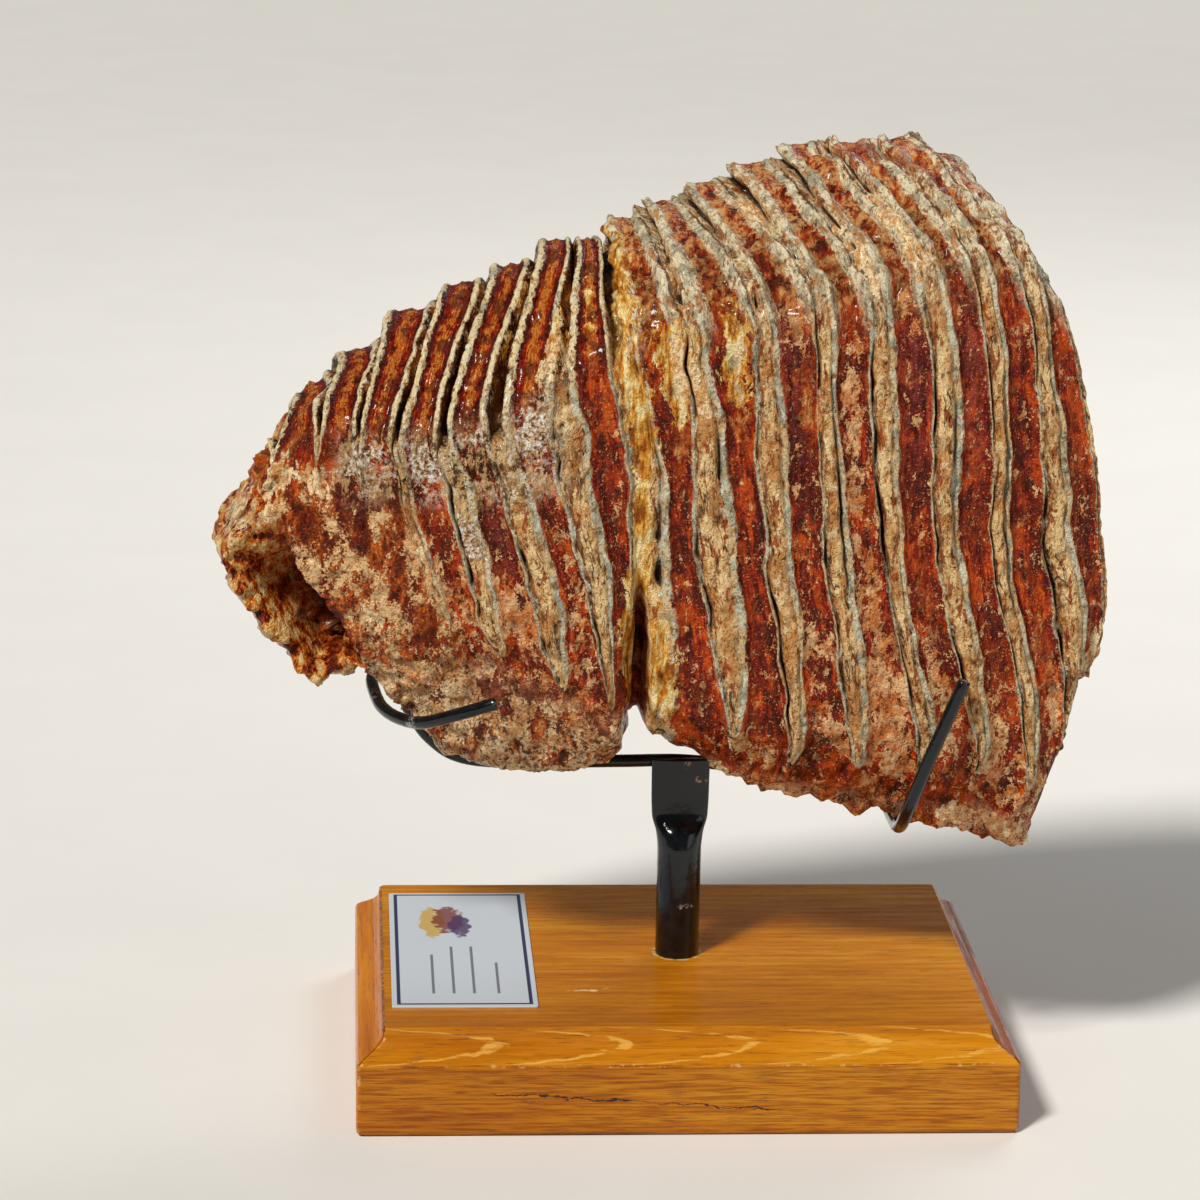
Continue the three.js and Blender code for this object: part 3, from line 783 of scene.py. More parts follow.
def tooth_noises(place, laid):
    """The noises that the tooth's colours share. The last six follow the plates."""
    return SimpleNamespace(
        coarse=place.noise(16, 3),
        patchy=place.noise(4.5, 4, 0.68),
        grain=place.noise(0.9, 2, 0.7),
        speckle=place.noise(0.55, 1, 0.6),
        crusty=place.stretch(1.25, 1, 0.8).noise(1.9, 3, 0.7, 0.2),
        ragged=place.stretch(1.4, 1, 0.8).noise(3.4, 4, 0.72, 0.25),
        zones=place.stretch(1.3, 1, 0.75).noise(8, 3, 0.6),
        flow=place.stretch(1.7, 1, 0.5).noise(4, 3, 0.68),
        specks=place.noise(1.4, 3, 0.72),
        streaks=laid.stretch(1.0, 0.16, 1).noise(1.6, 3, 0.7),
        fine=laid.stretch(1.2, 0.2, 1).noise(0.9, 3, 0.7),
        stain=laid.stretch(0.9, 0.3, 1).noise(2.4, 3, 0.7),
        across=laid.stretch(0.3, 1.0, 1).noise(0.9, 2, 0.6),
        lengthwise=laid.stretch(0.6, 0.1, 1).noise(2.0, 3, 0.6),
        crosswise=laid.stretch(0.22, 0.9, 1).noise(2.2, 3, 0.62),
    )


def cement_colour(noises, hand, band):
    """Cream cement with tan and rusty patches, brown by its left border, and fine dark cracks."""
    colour = noises.zones.rise(0.4, 0.56).mix((194, 142, 88), (230, 200, 152))
    colour = noises.patchy.fall(0.4, 0.45, 0.6).mix(colour, (242, 226, 186))
    colour = noises.ragged.rise(0.55, 0.58, 0.7).mix(colour, (188, 126, 64))
    colour = noises.flow.rise(0.575, 0.61, 0.9).mix(colour, (154, 72, 26))
    shadow = (band + noises.streaks * 2.4 - 1.2).rise(0.6, 0.9) * hand.fall(-0.3, 0.3, 0.85)
    colour = shadow.mix(colour, (112, 60, 24))
    lengthwise = noises.lengthwise.near(0.5, 0.005, 0.024, 0.9) * noises.coarse.rise(0.46, 0.54)
    crosswise = noises.crosswise.near(0.5, 0.005, 0.022, 0.9) * noises.ragged.rise(0.48, 0.54)
    return lengthwise.most(crosswise).mix(colour, (58, 28, 12))


def enamel_colour(noises):
    colour = noises.patchy.rise(0.42, 0.56).mix((156, 158, 147), (208, 207, 193))
    colour = noises.across.rise(0.56, 0.66, 0.4).mix(colour, (112, 82, 50))
    colour = noises.stain.rise(0.52, 0.56, 0.75).mix(colour, (210, 174, 122))
    return noises.coarse.fall(0.38, 0.48, 0.4).mix(colour, (212, 184, 136))


def dentine_colour(graph, noises):
    """Red dentine in streaks, and the share of it that tan crust covers."""
    colour = noises.streaks.ramp(
        (0.38, 76, 12, 2), (0.46, 126, 26, 3), (0.54, 162, 44, 5), (0.64, 206, 88, 13),
    )
    colour = noises.zones.rise(0.53, 0.6, 0.8).mix(colour, (194, 76, 10))
    colour = noises.coarse.fall(0.4, 0.5, 0.6).mix(colour, (92, 18, 4))
    colour = noises.zones.fall(0.4, 0.46, 0.7).mix(colour, (74, 24, 9))
    purple = graph.value("purple") * noises.streaks.rise(0.4, 0.56, 0.75)
    colour = purple.mix(colour, (116, 52, 66))
    level = noises.ragged * 0.8 + noises.speckle * 0.2
    level = level + graph.value("dust") * 0.05 + graph.value("peach") * 0.15
    crust = level.rise(0.583, 0.595, 0.92)
    tan = noises.patchy.rise(0.42, 0.56).mix((204, 128, 72), (232, 190, 146))
    colour = noises.speckle.rise(0.65, 0.68, 0.7).mix(crust.mix(colour, tan), (216, 150, 88))
    return colour, crust


def chewed_colour(noises, hand, band, left):
    """The chewed top: red and ochre strips between pale ribs, then rusty strips and crust on the right,
    with a painted shadow line along the left border of each cement crust there.
    """
    right = left.fall(0.0, 1.0)
    strips = (band + noises.fine * 2.2 - 3.12).ramp(
        (0.1, 62, 10, 3), (0.4, 132, 26, 5), (0.62, 160, 48, 9),
        (0.76, 190, 104, 30), (0.9, 214, 154, 66), (0.99, 170, 74, 16),
    )
    strips = noises.patchy.rise(0.5, 0.56, 0.75).mix(strips, (78, 24, 8))
    rust = noises.flow.ramp(
        (0.38, 84, 20, 7), (0.46, 142, 48, 14), (0.54, 182, 88, 32), (0.62, 210, 156, 98),
    )
    rust = noises.ragged.rise(0.53, 0.55, 0.85).mix(rust, (212, 164, 110))
    strips = left.mix(rust, strips)

    rib = noises.patchy.rise(0.4, 0.54).mix((168, 166, 150), (230, 223, 200))
    creamy = left * noises.flow.rise(0.42, 0.5, 0.7)
    rib = creamy.mix(rib, (236, 218, 178))
    rib = noises.grain.rise(0.6, 0.68, 0.5).mix(rib, (158, 102, 52))
    rusty = noises.stain.rise(0.56, 0.6, 0.8) * right
    rib = rusty.mix(rib, (178, 116, 58))

    # The worn slots in dark brown: partly the gaps' own amber-brown, partly painted shade in them.
    slot = noises.patchy.rise(0.42, 0.58).mix((60, 26, 7), (140, 78, 24))
    crust = noises.patchy.rise(0.42, 0.54).mix((174, 168, 150), (232, 220, 190))
    crust = noises.ragged.rise(0.5, 0.54, 0.8).mix(crust, (190, 134, 74))
    crust = noises.flow.rise(0.54, 0.58, 0.85).mix(crust, (138, 70, 26))
    colour = (band - left * 0.2).rise(0.8, 1.05).mix(left.mix(crust, slot), rib)
    # Painted shadow: a dark brown line along the left border of each cement crust on the right.
    ridge_shadow = band.near(1.0, 0.08, 0.3, 0.85) * hand.fall(-0.3, 0.3) * right * noises.stain.rise(0.41, 0.47)
    colour = ridge_shadow.mix(colour, (72, 38, 17))
    return (band + left * 0.35 - 0.35).rise(1.85, 2.02).mix(colour, strips)


def skin_colour(graph, noises):
    """Rust under ragged tan flakes, and the share that the flakes cover."""
    maroon = graph.value("maroon")
    level = noises.zones * 0.5 + noises.ragged * 0.32 + noises.speckle * 0.18
    level = level - maroon * 0.05 - graph.value("orange") * 0.025
    tan = level.rise(0.5, 0.54).mix((194, 136, 86), (226, 192, 148))
    rust = noises.flow.ramp((0.4, 110, 34, 9), (0.49, 160, 62, 14), (0.58, 206, 104, 28))
    rust = maroon.mix(rust, (92, 26, 11))
    rust = level.fall(0.44, 0.46, 0.7).mix(rust, (80, 26, 11))
    flakes = level.rise(0.496, 0.504)
    return flakes.mix(rust, tan), flakes


def nose_colour(noises, knob):
    """The lumpy nose: dark red in its folds, orange on its sides, tan and cream on its lumps."""
    colour = (knob * 0.06 + noises.ragged).ramp(
        (0.37, 66, 14, 3), (0.43, 150, 46, 6), (0.48, 204, 106, 22),
        (0.53, 220, 166, 84), (0.6, 242, 214, 160),
    )
    return noises.speckle.rise(0.62, 0.67, 0.5).mix(colour, (112, 58, 26))


def root_colour(graph, noises, left):
    """The roots: tan and pale cream flakes over rust, with dark pores."""
    tan = noises.patchy.rise(0.42, 0.56).mix((200, 150, 104), (234, 208, 172))
    tan = left.fall(0.0, 1.0, 0.5).mix(tan, (228, 178, 144))
    rust = noises.flow.ramp(
        (0.4, 70, 18, 5), (0.48, 150, 52, 10), (0.55, 196, 98, 24), (0.62, 222, 164, 100),
    )
    level = noises.ragged * 0.35 + noises.zones * 0.5 + noises.speckle * 0.15 - left * 0.02
    colour = level.rise(0.5, 0.512, 0.95).mix(tan, rust)
    colour = (graph.value("orange") * noises.specks.rise(0.4, 0.46)).mix(colour, rust)
    dark = noises.patchy.rise(0.42, 0.58).mix((84, 22, 6), (142, 50, 14))
    colour = (graph.patch("maroon", noises.ragged) * 0.9).mix(colour, dark)
    pores = (noises.specks + left * 0.035).rise(0.6, 0.63, 0.8)
    return pores.mix(colour, (76, 40, 19))


def spots_over(graph, noises, colour):
    """The amber and cream patches, and the hollows in red and tan, with painted shade darkening their
    deepest parts.
    """
    amber = noises.flow.ramp(
        (0.38, 140, 70, 10), (0.46, 196, 126, 36), (0.53, 218, 170, 80), (0.6, 240, 218, 160),
    )
    colour = graph.patch("amber", noises.ragged).mix(colour, amber)
    pale = noises.flow.rise(0.42, 0.56).mix((212, 158, 100), (240, 216, 168))
    pale = noises.specks.rise(0.53, 0.57, 0.7).mix(pale, (182, 110, 56))
    colour = graph.patch("cream", noises.ragged).mix(colour, pale)
    hollow = noises.patchy.ramp(
        (0.38, 76, 16, 3), (0.47, 152, 44, 7), (0.56, 196, 88, 20), (0.64, 216, 154, 90),
    )
    # Painted shade: the deepest parts turn near black.
    hollow = graph.value("deep").mix(hollow, (44, 9, 2))
    return graph.value("hollow").mix(colour, hollow)


def kink_over(graph, noises, colour):
    """Where the left plates bend: tan over the red, with black specks, painted glints in silvery flecks,
    and patches of painted glinting sheen.
    """
    kink = graph.value("kink")
    tan = kink * noises.flow.rise(0.48, 0.52, 0.75)
    colour = tan.mix(colour, (196, 158, 106))
    # Painted highlight: silvery flecks that stand in for the lacquer's glints.
    silver_glint = kink * noises.specks.fall(0.45, 0.5, 0.6) * noises.zones.rise(0.46, 0.52)
    colour = silver_glint.mix(colour, (206, 200, 184))
    spotted = graph.value("dark").most(kink * noises.zones.fall(0.47, 0.53, 0.9))
    colour = (spotted * noises.specks.rise(0.51, 0.54, 0.9)).mix(colour, (36, 22, 12))
    # Painted sheen: white glints painted over tan, with dark specks, inside the glint spots.
    sheen = (noises.grain * 0.4 + noises.specks * 0.6).ramp(
        (0.4, 244, 246, 246), (0.46, 216, 206, 188), (0.52, 182, 146, 108),
        (0.57, 112, 72, 44), (0.62, 48, 30, 18),
    )
    return (graph.patch("painted_glints", noises.ragged) * 0.8).mix(colour, sheen)


def tooth_material():
    graph = Graph("fossil_tooth")
    laid = graph.value("laid", "Vector")
    hand = laid.axes()[2]
    noises = tooth_noises(graph.place(), laid)
    worn, root, skin_share = (graph.value(name) for name in ("worn", "root", "skin"))
    left = graph.value("plate").fall(7.4, 7.7)
    band = graph.value("band") + noises.crusty * 1.2 - 0.6

    dentine, crust = dentine_colour(graph, noises)
    in_dentine = band.rise(1.8, 1.95)
    flank = band.rise(0.86, 1.0).mix(cement_colour(noises, hand, band), enamel_colour(noises))
    flank = in_dentine.mix(flank, dentine)
    colour = worn.mix(flank, chewed_colour(noises, hand, band, left))
    orange = noises.flow.ramp(
        (0.4, 112, 30, 7), (0.5, 170, 66, 14), (0.57, 196, 104, 32), (0.64, 222, 168, 104),
    )
    colour = (graph.patch("orange", noises.ragged) * left.fall(0.0, 1.0, 0.7)).mix(colour, orange)
    skin, flakes = skin_colour(graph, noises)
    colour = skin_share.mix(colour, skin)
    colour = root.mix(colour, root_colour(graph, noises, left))
    colour = graph.value("nose").mix(colour, nose_colour(noises, graph.value("knob")))
    # Painted shade: the crusty noise that lifts the bump darkens its low spots, and gives the whole colour
    # a slight warm tint.
    colour = colour.times(noises.crusty.ramp(
        (0.35, 176, 134, 100), (0.46, 249, 238, 216), (0.6, 255, 251, 240),
    ))
    colour = spots_over(graph, noises, colour)
    # Painted shade: the colour turns near black where the relief sinks deep, in crevices and grooves, but
    # not on the chewed left top.
    crevice = graph.value("relief").fall(-2.4, -1.2, 0.95) * noises.grain.rise(0.3, 0.42)
    crevice = crevice * (left * worn).fall(0.0, 1.0)
    colour = kink_over(graph, noises, crevice.mix(colour, (50, 22, 9)))

    height = noises.grain * 0.6 + noises.speckle * 0.25 + noises.crusty * 1.4
    height = height + skin_share * flakes * 0.22 + in_dentine * crust * 0.22
    return graph.finish({
        "Base Color": colour,
        "Roughness": noises.patchy.rise(0.25, 0.75, 0.55),
        "Specular IOR Level": 0.13,
        "Coat Weight": 0.15,
        "Coat Roughness": 0.11,
        "Normal": height.bump(1.0, 0.0011),
    })


# The wooden base.
BASE_WIDTH = 160.0
BASE_DEPTH = 120.0
BASE_TOP = 25.5
BASE_CORNER = 1.2
SIDE_POINTS = 23

# The edge of the base from its underside to its top: inset and height.
BASE_EDGE = [
    (3.0, 0.0), (1.0, 0.15), (0.25, 0.7), (0.0, 1.4), (0.0, 6.0), (0.0, 12.0), (0.0, 17.4), (0.12, 17.9),
    (0.5, 18.5), (1.3, 19.15), (2.4, 19.8), (3.6, 20.6), (4.7, 21.4), (5.5, 22.3), (6.0, 23.2),
    (6.2, 24.2), (6.3, 25.1), (6.75, 25.5), (9.0, 25.5), (30.0, 25.5), (58.0, 25.5),
]

# The pale figure in the front chamfer's wood: the chamfer's middle height and half height, how far the arms
# of each arc reach back, and the spacing of the arcs.
CHAMFER_MIDDLE = 21.7
CHAMFER_HALF = 3.6
FIGURE_REACH = 30.0
FIGURE_SPACING = 31.0


def rounded_ring(middle, half, corner, z, between=0):
    """A rounded rectangle at one height, with the given number of points along each side."""
    arcs = []
    for quarter, (side_x, side_y) in enumerate([(1, 1), (-1, 1), (-1, -1), (1, -1)]):
        angles = (quarter + np.linspace(0, 1, 5)) * math.pi / 2
        x = middle[0] + side_x * (half[0] - corner) + corner * np.cos(angles)
        y = middle[1] + side_y * (half[1] - corner) + corner * np.sin(angles)
        arcs.append(np.stack([x, y, np.full(5, z)], -1))
    ring = []
    for arc, following in zip(arcs, arcs[1:] + arcs[:1]):
        side = [mix(arc[-1], following[0], step / (between + 1)) for step in range(1, between + 1)]
        ring += [*arc, *side]
    return np.array(ring)


def wood_base_piece():
    rings = []
    for inset, z in BASE_EDGE:
        half = (BASE_WIDTH / 2 - inset, BASE_DEPTH / 2 - inset)
        rings.append(rounded_ring((0, 0), half, BASE_CORNER, z, SIDE_POINTS))
    points = np.concatenate(rings)
    edge = plateau(17.2, 19.5, 1.0, points[:, 2]) + plateau(24.6, 25.4, 0.8, points[:, 2])
    wear = np.clip(noise_at(points, 9, 3, 21), -1, 1) * edge * 0.12
    points[:, 0] -= np.sign(points[:, 0]) * np.abs(wear)
    faces = stack_faces(len(rings), len(rings[0]))
    return make_piece("wood_base_block", points, faces, wood_material(), smooth=False)


def wood_material():
    """Varnished wood: grain and pores, the chamfer's pale figure, dark splits and seams, and worn edges,
    with painted light and shade on the ends and painted shade on the front.
    """
    graph = Graph("honey_wood")
    place = graph.place()
    x, y, z = place.axes()
    over_x = abs(x) - BASE_WIDTH / 2
    over_y = abs(y) - BASE_DEPTH / 2
    end_strip = over_x.math("GREATER_THAN", over_y) * z.fall(BASE_TOP - 0.4, BASE_TOP - 0.3)
    turned = graph.add("ShaderNodeCombineXYZ", {"X": y, "Y": x, "Z": z})
    along = end_strip.mix(place, turned)
    grain = along.stretch(0.03, 0.6, 0.6).noise(1.0, 5, 0.6)
    wide = along.stretch(0.009, 0.04, 0.1).noise(1.0, 3, 0.5)
    colour = (grain * 0.45 + wide * 0.55).ramp(
        (0.34, 166, 92, 6), (0.5, 192, 118, 12), (0.64, 208, 142, 30),
    )
    pores = along.stretch(0.14, 3.2, 3.2).noise(1.0, 3, 0.5).rise(0.6, 0.68, 0.5)
    colour = pores.mix(colour, (112, 58, 10))
    # Painted light and shade: the left end strip stays lighter and the right one is darkened, as the light
    # falls from the left.
    colour = end_strip.mix(colour, colour.times(x.rise(-1, 1).mix((255, 236, 196), (206, 150, 110))))

    front_face = y.math("LESS_THAN", -BASE_DEPTH / 2 + 0.3)
    # Fine grain lines on the front face; their multiply also darkens the whole front, as painted shade.
    lines = place.stretch(0.07, 1, 1.7).noise(1.0, 4, 0.62)
    tint = lines.rise(0.4, 0.56).mix((196, 172, 140), (240, 236, 224))
    colour = front_face.mix(colour, colour.times(tint))

    wobble = place.stretch(0.2, 0.2, 0.6).noise(1.0) - 0.5
    ragged = place.stretch(0.12, 1, 1.2).noise(1.0)
    height_on = (z - CHAMFER_MIDDLE) * (1 / CHAMFER_HALF)
    arc = height_on * height_on * FIGURE_REACH + wobble * 12 + x
    arc = (arc * (1 / FIGURE_SPACING)).math("FRACT").near(0.5, 0.03, 0.1, 0.7)
    front = y.math("LESS_THAN", -BASE_DEPTH / 2 + 7.5) * end_strip.fall(0.2, 0.8)
    on_chamfer = front * z.near(CHAMFER_MIDDLE, CHAMFER_HALF - 0.5, CHAMFER_HALF + 0.3)
    colour = (arc * on_chamfer * ragged.rise(0.4, 0.52)).mix(colour, (226, 172, 78))

    broken = place.stretch(0.06, 0.1, 0.1).noise(1.0, 1).rise(0.4, 0.5)
    split = (z - (x * -0.066 + wobble * 3 + 8.0)).near(0.0, 0.03, 0.24)
    split = split * x.near(-20, 40, 43) * front_face * broken
    on_chamfer = z.near(CHAMFER_MIDDLE, CHAMFER_HALF, CHAMFER_HALF + 0.2)
    mitre = (over_x - over_y).near(0.0, 0.06, 0.3, 0.8) * on_chamfer
    quirk = over_x.near(-6.5, 0.15, 0.6, 0.85) * x.fall(-1, 1) * z.rise(24, 24.6) * ragged.rise(0.4, 0.55)
    dark = split.most(mitre.most(quirk))
    colour = dark.mix(colour, (52, 22, 6))

    rub = place.noise(2.2, 5, 0.7)
    edges = abs(over_x).most(abs(over_y)).near(0.0, 0.5, 1.3).most(z.near(17.9, 0.15, 0.6))
    worn = edges * rub.rise(0.55, 0.63, 0.4)
    from_post = ((x - TUBE_X).math("POWER", 2.0) + y.math("POWER", 2.0)).math("SQRT")
    ring = from_post.near(TUBE_RADIUS + 0.3, 0.3, 0.8) * rub.rise(0.47, 0.55, 0.7)
    scratch_at = x * 0.12 + wobble * 5 - 25.0
    scratch = (y - scratch_at).near(0.0, 0.2, 0.8) * x.near(-23, 4, 6) * rub.rise(0.45, 0.52, 0.9)
    colour = worn.most(ring.most(scratch)).mix(colour, (232, 200, 144))

    return graph.finish({
        "Base Color": colour,
        "Roughness": grain.rise(0.2, 0.8, 0.55),
        "Specular IOR Level": 0.2,
        "Coat Weight": 0.08,
        "Coat Roughness": 0.2,
        "Normal": (grain * 0.5 - pores - dark * 2.0).bump(0.6, 0.0003),
    })


# The label card on the base: its sides, its thickness, and its edge's inset and height going up.
CARD_X = (-71.3, -35.7)
CARD_Y = (-40.2, 45.2)
CARD_MIDDLE = (sum(CARD_X) / 2, sum(CARD_Y) / 2)
CARD_HALF = ((CARD_X[1] - CARD_X[0]) / 2, (CARD_Y[1] - CARD_Y[0]) / 2)
CARD_THICK = 0.5
CARD_CORNER = 0.6
CARD_EDGE = [
    (0.06, 0), (0, 0.1), (0, CARD_THICK - 0.12),
    (0.08, CARD_THICK - 0.02), (0.4, CARD_THICK), (6, CARD_THICK),
]

# The card's painted patches: middle x and y, half width, half length and colour.
# Its rules: x, low and high y.
CARD_PATCHES = [
    (-60.5, 22, 3.4, 11, (196, 158, 70)),
    (-56.5, 24, 4.2, 10, (122, 52, 34)),
    (-53.5, 19, 3.0, 8, (74, 46, 92)),
]
CARD_RULES = [(-61, -31, -3), (-56, -31, 3), (-51, -31, 3), (-45, -31, -9)]


def label_card_piece():
    rings = []
    for inset, z in CARD_EDGE:
        half = (CARD_HALF[0] - inset, CARD_HALF[1] - inset)
        rings.append(rounded_ring(CARD_MIDDLE, half, CARD_CORNER, BASE_TOP + z))
    faces = stack_faces(len(rings), len(rings[0]))
    return make_piece("label_card_sheet", np.concatenate(rings), faces, card_material(), smooth=False)


def card_material():
    """Pale card with a thin border, soft painted patches and plain rules."""
    graph = Graph("label_print")
    place = graph.place()
    x, y, _ = place.axes()
    off_x = abs(x - CARD_MIDDLE[0]) - CARD_HALF[0]
    off_y = abs(y - CARD_MIDDLE[1]) - CARD_HALF[1]
    colour = off_x.most(off_y).near(-1.7, 0.4, 0.5).mix((196, 203, 210), (42, 52, 82))
    soft = (place.noise(3.0, 4, 0.6) - 0.5) * 2.4
    for middle_x, middle_y, wide, tall, tone in CARD_PATCHES:
        from_x = (x - middle_x) * (1 / wide)
        from_y = (y - middle_y) * (1 / tall)
        away = from_x * from_x + from_y * from_y + soft
        colour = away.fall(0.7, 1.1, 0.9).mix(colour, tone)
    for at, low, high in CARD_RULES:
        half = (high - low) / 2
        rule = x.near(at, 0.28, 0.42, 0.8) * y.near(low + half, half, half + 0.3)
        colour = rule.mix(colour, (70, 76, 88))
    return graph.finish({"Base Color": colour, "Roughness": 0.4})


# The steel stand. The tube's pinch is a height and its share of the pinch. A rod's rounded end is how far
# out each ring is and its share of the radius. A rod's route is x, y and z.
TUBE_X = 1.0
TUBE_RADIUS = 5.5
TUBE_TOP = 76.25
PINCH_HALF_WIDTH = 7.3
PINCH_HALF_THICK = 1.3
PINCH_BACK = 0.9
TUBE_PINCH = [(BASE_TOP, 0), (54, 0), (58, 0.25), (61, 0.82), (66, 0.95), (TUBE_TOP, 1)]
TUBE_SIDES = 64
ROD_RADIUS = 1.6
ROD_SIDES = 20
ROD_ENDS = [(0.22, 0.94), (0.34, 0.8), (0.36, 0.4)]
CROSS_BAR = [
    (-67.5, 4.2, 89), (-62, 4.2, 81), (-54, 4.2, 75.8), (-40, 4.2, 74.4), (-15, 4.2, 74.7), (4, 4.2, 74.7),
    (22, 4.2, 72), (50, 4.2, 66.6),
]
LEFT_ROD = [
    (-46.5, -33, 100.5), (-55.5, -30.5, 97), (-64, -24, 93), (-69.5, -16.5, 91.8), (-73.5, -8, 92),
    (-75.5, 1, 93.4), (-76, 10, 95), (-73, 20, 96.5), (-65, 27.5, 98), (-52, 32.5, 100.5),
]
RIGHT_ROD = [
    (65, -42, 108.7), (57.9, -40, 89.5), (53.6, -36.5, 75.5), (52.6, -28, 67.8), (52.8, -14, 65.4),
    (53, 0, 64.6), (53.2, 14, 65.4), (53.4, 27, 67.8), (53.9, 37, 75.5), (55.4, 40.5, 89.5),
    (58.4, 42, 103),
]


# Chips in the paint: x, y and z of the middle, radius, and colour.
PAINT_CHIPS = [
    (2.6, -0.4, 75, 1.3, (150, 120, 92)),
    (5.6, -0.4, 71.2, 1.2, (190, 150, 110)),
    (7.6, -0.2, 70.2, 1.2, (150, 116, 90)),
    (1.2, -5.3, 39.2, 0.9, (150, 140, 128)),
    (2.6, -5.0, 39.5, 0.9, (150, 140, 128)),
    (3.8, -4.2, 39.3, 0.8, (150, 140, 128)),
    (-75.4, -2, 93, 3.6, (150, 152, 152)),
    (-66, -22, 92, 2.6, (140, 142, 142)),
    (-46.5, -33, 100.5, 1.9, (120, 122, 120)),
    (65, -42, 108.7, 1.8, (130, 104, 104)),
    (52.8, -31, 69.5, 4.2, (110, 52, 28)),
]


def smooth_line(points, steps):
    """Points along a smooth curve through the given ones."""
    points = np.asarray(points, float)
    ends = [2 * points[0] - points[1], *points, 2 * points[-1] - points[-2]]
    line = []
    for i in range(1, len(ends) - 2):
        for step in range(steps):
            line.append(blend4(*ends[i - 1:i + 3], step / steps))
    return np.array(line + [points[-1]])


def swept_rings(line, radii, sides):
    """Round sections along a line, without twist."""
    forward = np.gradient(line, axis=0)
    forward /= np.linalg.norm(forward, axis=1, keepdims=True)
    across = np.cross(forward[0], (0.0, 0.0, 1.0))
    angles = np.linspace(0, 2 * math.pi, sides, endpoint=False)
    rings = []
    for middle, ahead, radius in zip(line, forward, radii):
        across = across - ahead * np.dot(across, ahead)
        across /= np.linalg.norm(across)
        other = np.cross(ahead, across)
        ring = middle + radius * (np.outer(np.cos(angles), across) + np.outer(np.sin(angles), other))
        rings.append(ring)
    return rings


def rod_piece(name, points, material):
    """A bent rod with softly rounded cut ends."""
    line = smooth_line(points, 10)
    radii = np.full(len(line), ROD_RADIUS)
    head = (line[0] - line[1]) / np.linalg.norm(line[0] - line[1])
    tail = (line[-1] - line[-2]) / np.linalg.norm(line[-1] - line[-2])
    line[0] -= head * ROD_ENDS[-1][0]
    line[-1] -= tail * ROD_ENDS[-1][0]
    before = [line[0] + head * out for out, _ in ROD_ENDS][::-1]
    after = [line[-1] + tail * out for out, _ in ROD_ENDS]
    sizes = [ROD_RADIUS * size for _, size in ROD_ENDS]
    line = np.concatenate([before, line, after])
    radii = np.concatenate([sizes[::-1], radii, sizes])
    rings = swept_rings(line, radii, ROD_SIDES)
    points = np.concatenate(rings)
    radial = points - np.repeat(line, ROD_SIDES, axis=0)
    points += radial * 0.02 * noise_at(points, 3, 3, 31)[:, None]
    return make_piece(name, points, stack_faces(len(rings), ROD_SIDES), material)


def post_piece(material):
    """The tube, pinched flat towards its top."""
    low_part = np.linspace(BASE_TOP + 2, 52, 12)
    high_part = np.linspace(53, TUBE_TOP - 0.4, 40)
    heights = [BASE_TOP, BASE_TOP + 0.3, *low_part, *high_part, TUBE_TOP]
    pinch_z, pinch_share = zip(*TUBE_PINCH)
    angles = np.linspace(0, 2 * math.pi, TUBE_SIDES, endpoint=False)
    rings = []
    for z in heights:
        near = [np.interp(z + shift, pinch_z, pinch_share) for shift in (-1.0, -0.5, 0, 0.5, 1.0)]
        pinch = sum(near) / len(near)
        half_x = mix(TUBE_RADIUS, PINCH_HALF_WIDTH, pinch)
        half_y = mix(TUBE_RADIUS, PINCH_HALF_THICK, pinch)
        ring = np.stack([
            TUBE_X + half_x * np.cos(angles),
            PINCH_BACK * pinch + half_y * np.sin(angles),
            np.full(TUBE_SIDES, z),
        ], -1)
        rings.append(ring)
    faces = stack_faces(len(rings), TUBE_SIDES)
    return make_piece("post_tube_steel", np.concatenate(rings), faces, material)


def paint_material():
    """Black paint, with chips down to pale primer or rust at the given places."""
    graph = Graph("black_paint")
    place = graph.place()
    bumps = place.noise(2.2, 4, 0.6)
    flaked = place.noise(1.1, 5, 0.72).rise(0.5, 0.54, 0.95)
    colour = bumps.rise(0.35, 0.7).mix((5, 8, 11), (13, 18, 23))
    for x, y, z, radius, tone in PAINT_CHIPS:
        away = graph.add("ShaderNodeVectorMath", {0: place, 1: (x, y, z)}, "Value", operation="DISTANCE")
        colour = (away.fall(0.55 * radius, radius) * flaked).mix(colour, tone)
    return graph.finish({
        "Base Color": colour,
        "Roughness": bumps.rise(0.2, 1.2, 0.5),
        "Specular IOR Level": 0.3,
        "Coat Weight": 0.3,
        "Coat Roughness": 0.12,
        "Normal": bumps.bump(0.25, 0.0004),
    })


FLOOR_REACH = 4000.0


def floor_piece():
    """A large pale floor that fills the frame."""
    lines = np.linspace(-FLOOR_REACH, FLOOR_REACH, 9)
    points = [(x, y, 0.0) for y in lines for x in lines]
    corners = [row * 9 + column for row in range(8) for column in range(8)]
    faces = [[low, low + 1, low + 10, low + 9] for low in corners]
    graph = Graph("pale_floor")
    tone = graph.place().noise(60, 3)
    colour = tone.rise(0.3, 0.7, 0.3).mix((230, 228, 223), (223, 221, 216))
    material = graph.finish({"Base Color": colour, "Roughness": 0.85, "Specular IOR Level": 0.2})
    return make_piece("studio_floor", points, faces, material, smooth=False)


def add_light(name, kind, power, colour, towards):
    """A light that shines in the given direction."""
    data = bpy.data.lights.new(name, kind)
    data.energy = power
    data.color = colour
    light = bpy.data.objects.new(name, data)
    light.rotation_euler = Vector(towards).to_track_quat("-Z", "Y").to_euler()
    bpy.context.scene.collection.objects.link(light)
    return light


def area_light(name, place, size, watts, colour):
    """A square light at a place in metres, turned to the tooth."""
    light = add_light(name, "AREA", watts, colour, Vector((0.0, 0.0, 0.13)) - Vector(place))
    light.location = place
    light.data.shape = "SQUARE"
    light.data.size = size


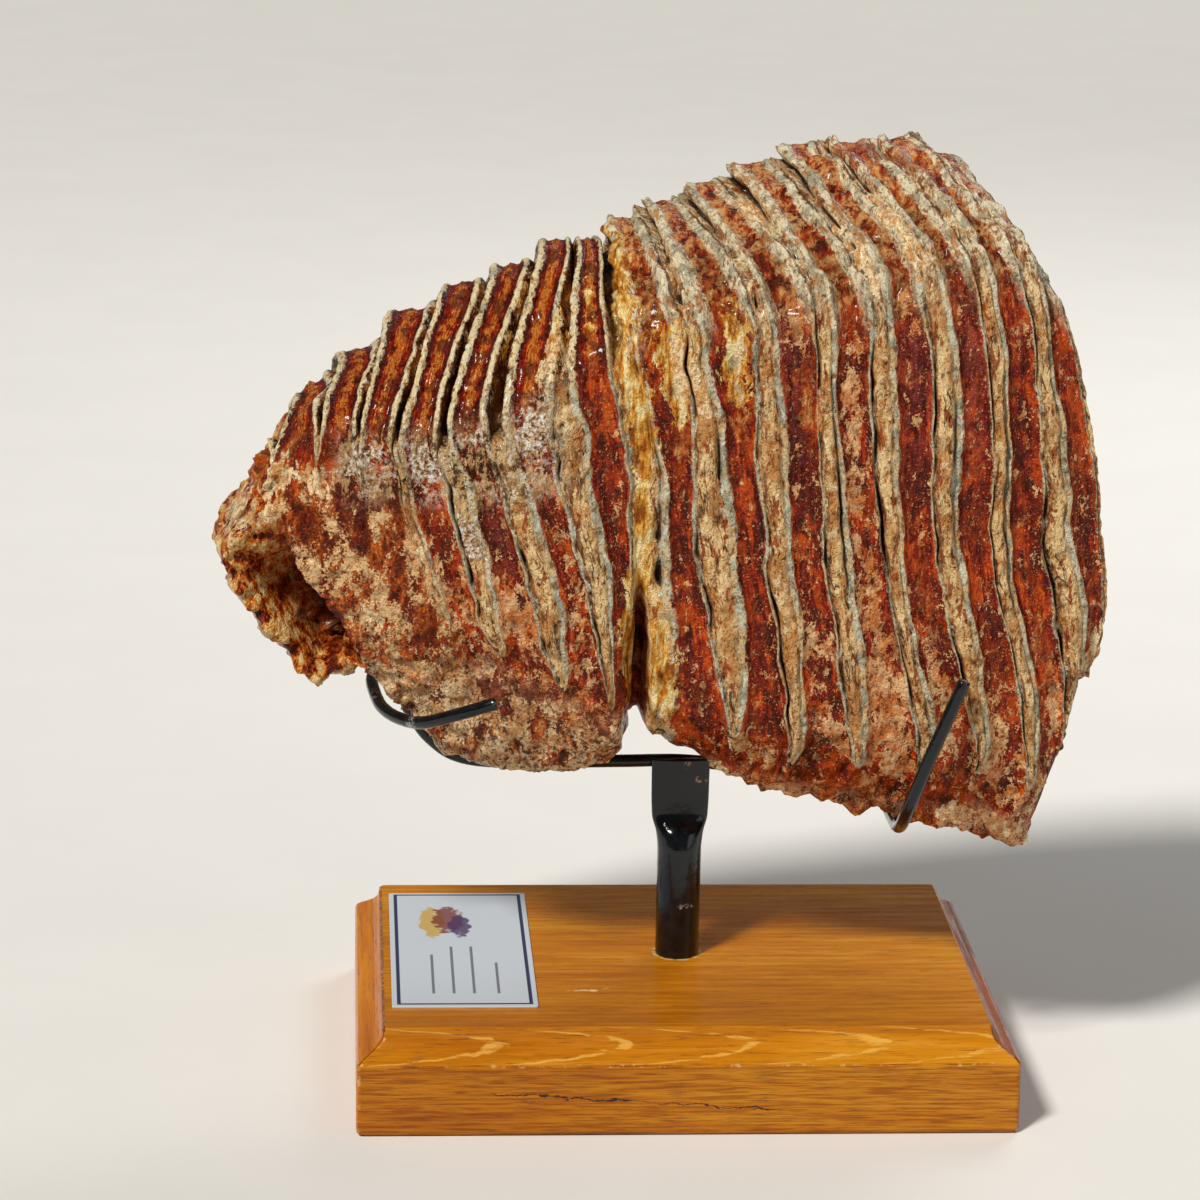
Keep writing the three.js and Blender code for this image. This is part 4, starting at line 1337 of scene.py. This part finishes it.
def studio():
    """A warm sun from the upper left front, two weak square lights and a dim grey sky."""
    sun = add_light("key", "SUN", 3.3, (1.0, 0.975, 0.93), (0.5, 0.62, -0.85))
    sun.data.angle = math.radians(10)
    area_light("fill", (1.1, -0.9, 0.5), 0.7, 1.6, (1.0, 0.99, 0.97))
    area_light("rim", (0.5, 0.8, 0.9), 0.5, 4, (1.0, 1.0, 1.0))
    world = bpy.data.worlds.new("studio")
    world.use_nodes = True
    background = world.node_tree.nodes["Background"]
    background.inputs["Color"].default_value = (0.84, 0.83, 0.82, 1)
    background.inputs["Strength"].default_value = 0.13
    bpy.context.scene.world = world
    bpy.context.scene.view_settings.view_transform = "Standard"


def place_camera():
    yaw, pitch, roll = (math.radians(turn) for turn in (CAMERA_YAW, CAMERA_PITCH, CAMERA_ROLL))
    side = Vector((math.cos(yaw), -math.sin(yaw), 0))
    level = Vector((math.sin(yaw), math.cos(yaw), 0))
    forward = level * math.cos(pitch) - Vector((0, 0, 1)) * math.sin(pitch)
    down = forward.cross(side)
    right = side * math.cos(roll) + down * math.sin(roll)
    below = down * math.cos(roll) - side * math.sin(roll)
    data = bpy.data.cameras.new("photo_camera")
    data.lens = CAMERA_LENS
    data.sensor_width = CAMERA_SENSOR
    data.clip_start = 0.05
    data.clip_end = 20
    camera = bpy.data.objects.new("photo_camera", data)
    turn = Matrix((right, -below, -forward)).transposed().to_4x4()
    camera.matrix_world = Matrix.Translation(Vector(CAMERA_PLACE) * MM) @ turn
    bpy.context.scene.collection.objects.link(camera)
    bpy.context.scene.camera = camera


def hand_over(piece, node):
    """Puts a piece on the root body and hides the CAD node it stands in for."""
    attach(piece, "root")
    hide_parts(node)


hand_over(tooth_piece(), "tooth")
hand_over(wood_base_piece(), "wood_base")
hand_over(label_card_piece(), "label_card")
paint = paint_material()
hand_over(post_piece(paint), "post_tube")
hand_over(rod_piece("cross_bar_rod", CROSS_BAR, paint), "cross_bar")
hand_over(rod_piece("left_cradle_bend", LEFT_ROD, paint), "left_cradle_rod")
hand_over(rod_piece("right_cradle_bend", RIGHT_ROD, paint), "right_cradle_rod")
floor_piece()
studio()
place_camera()
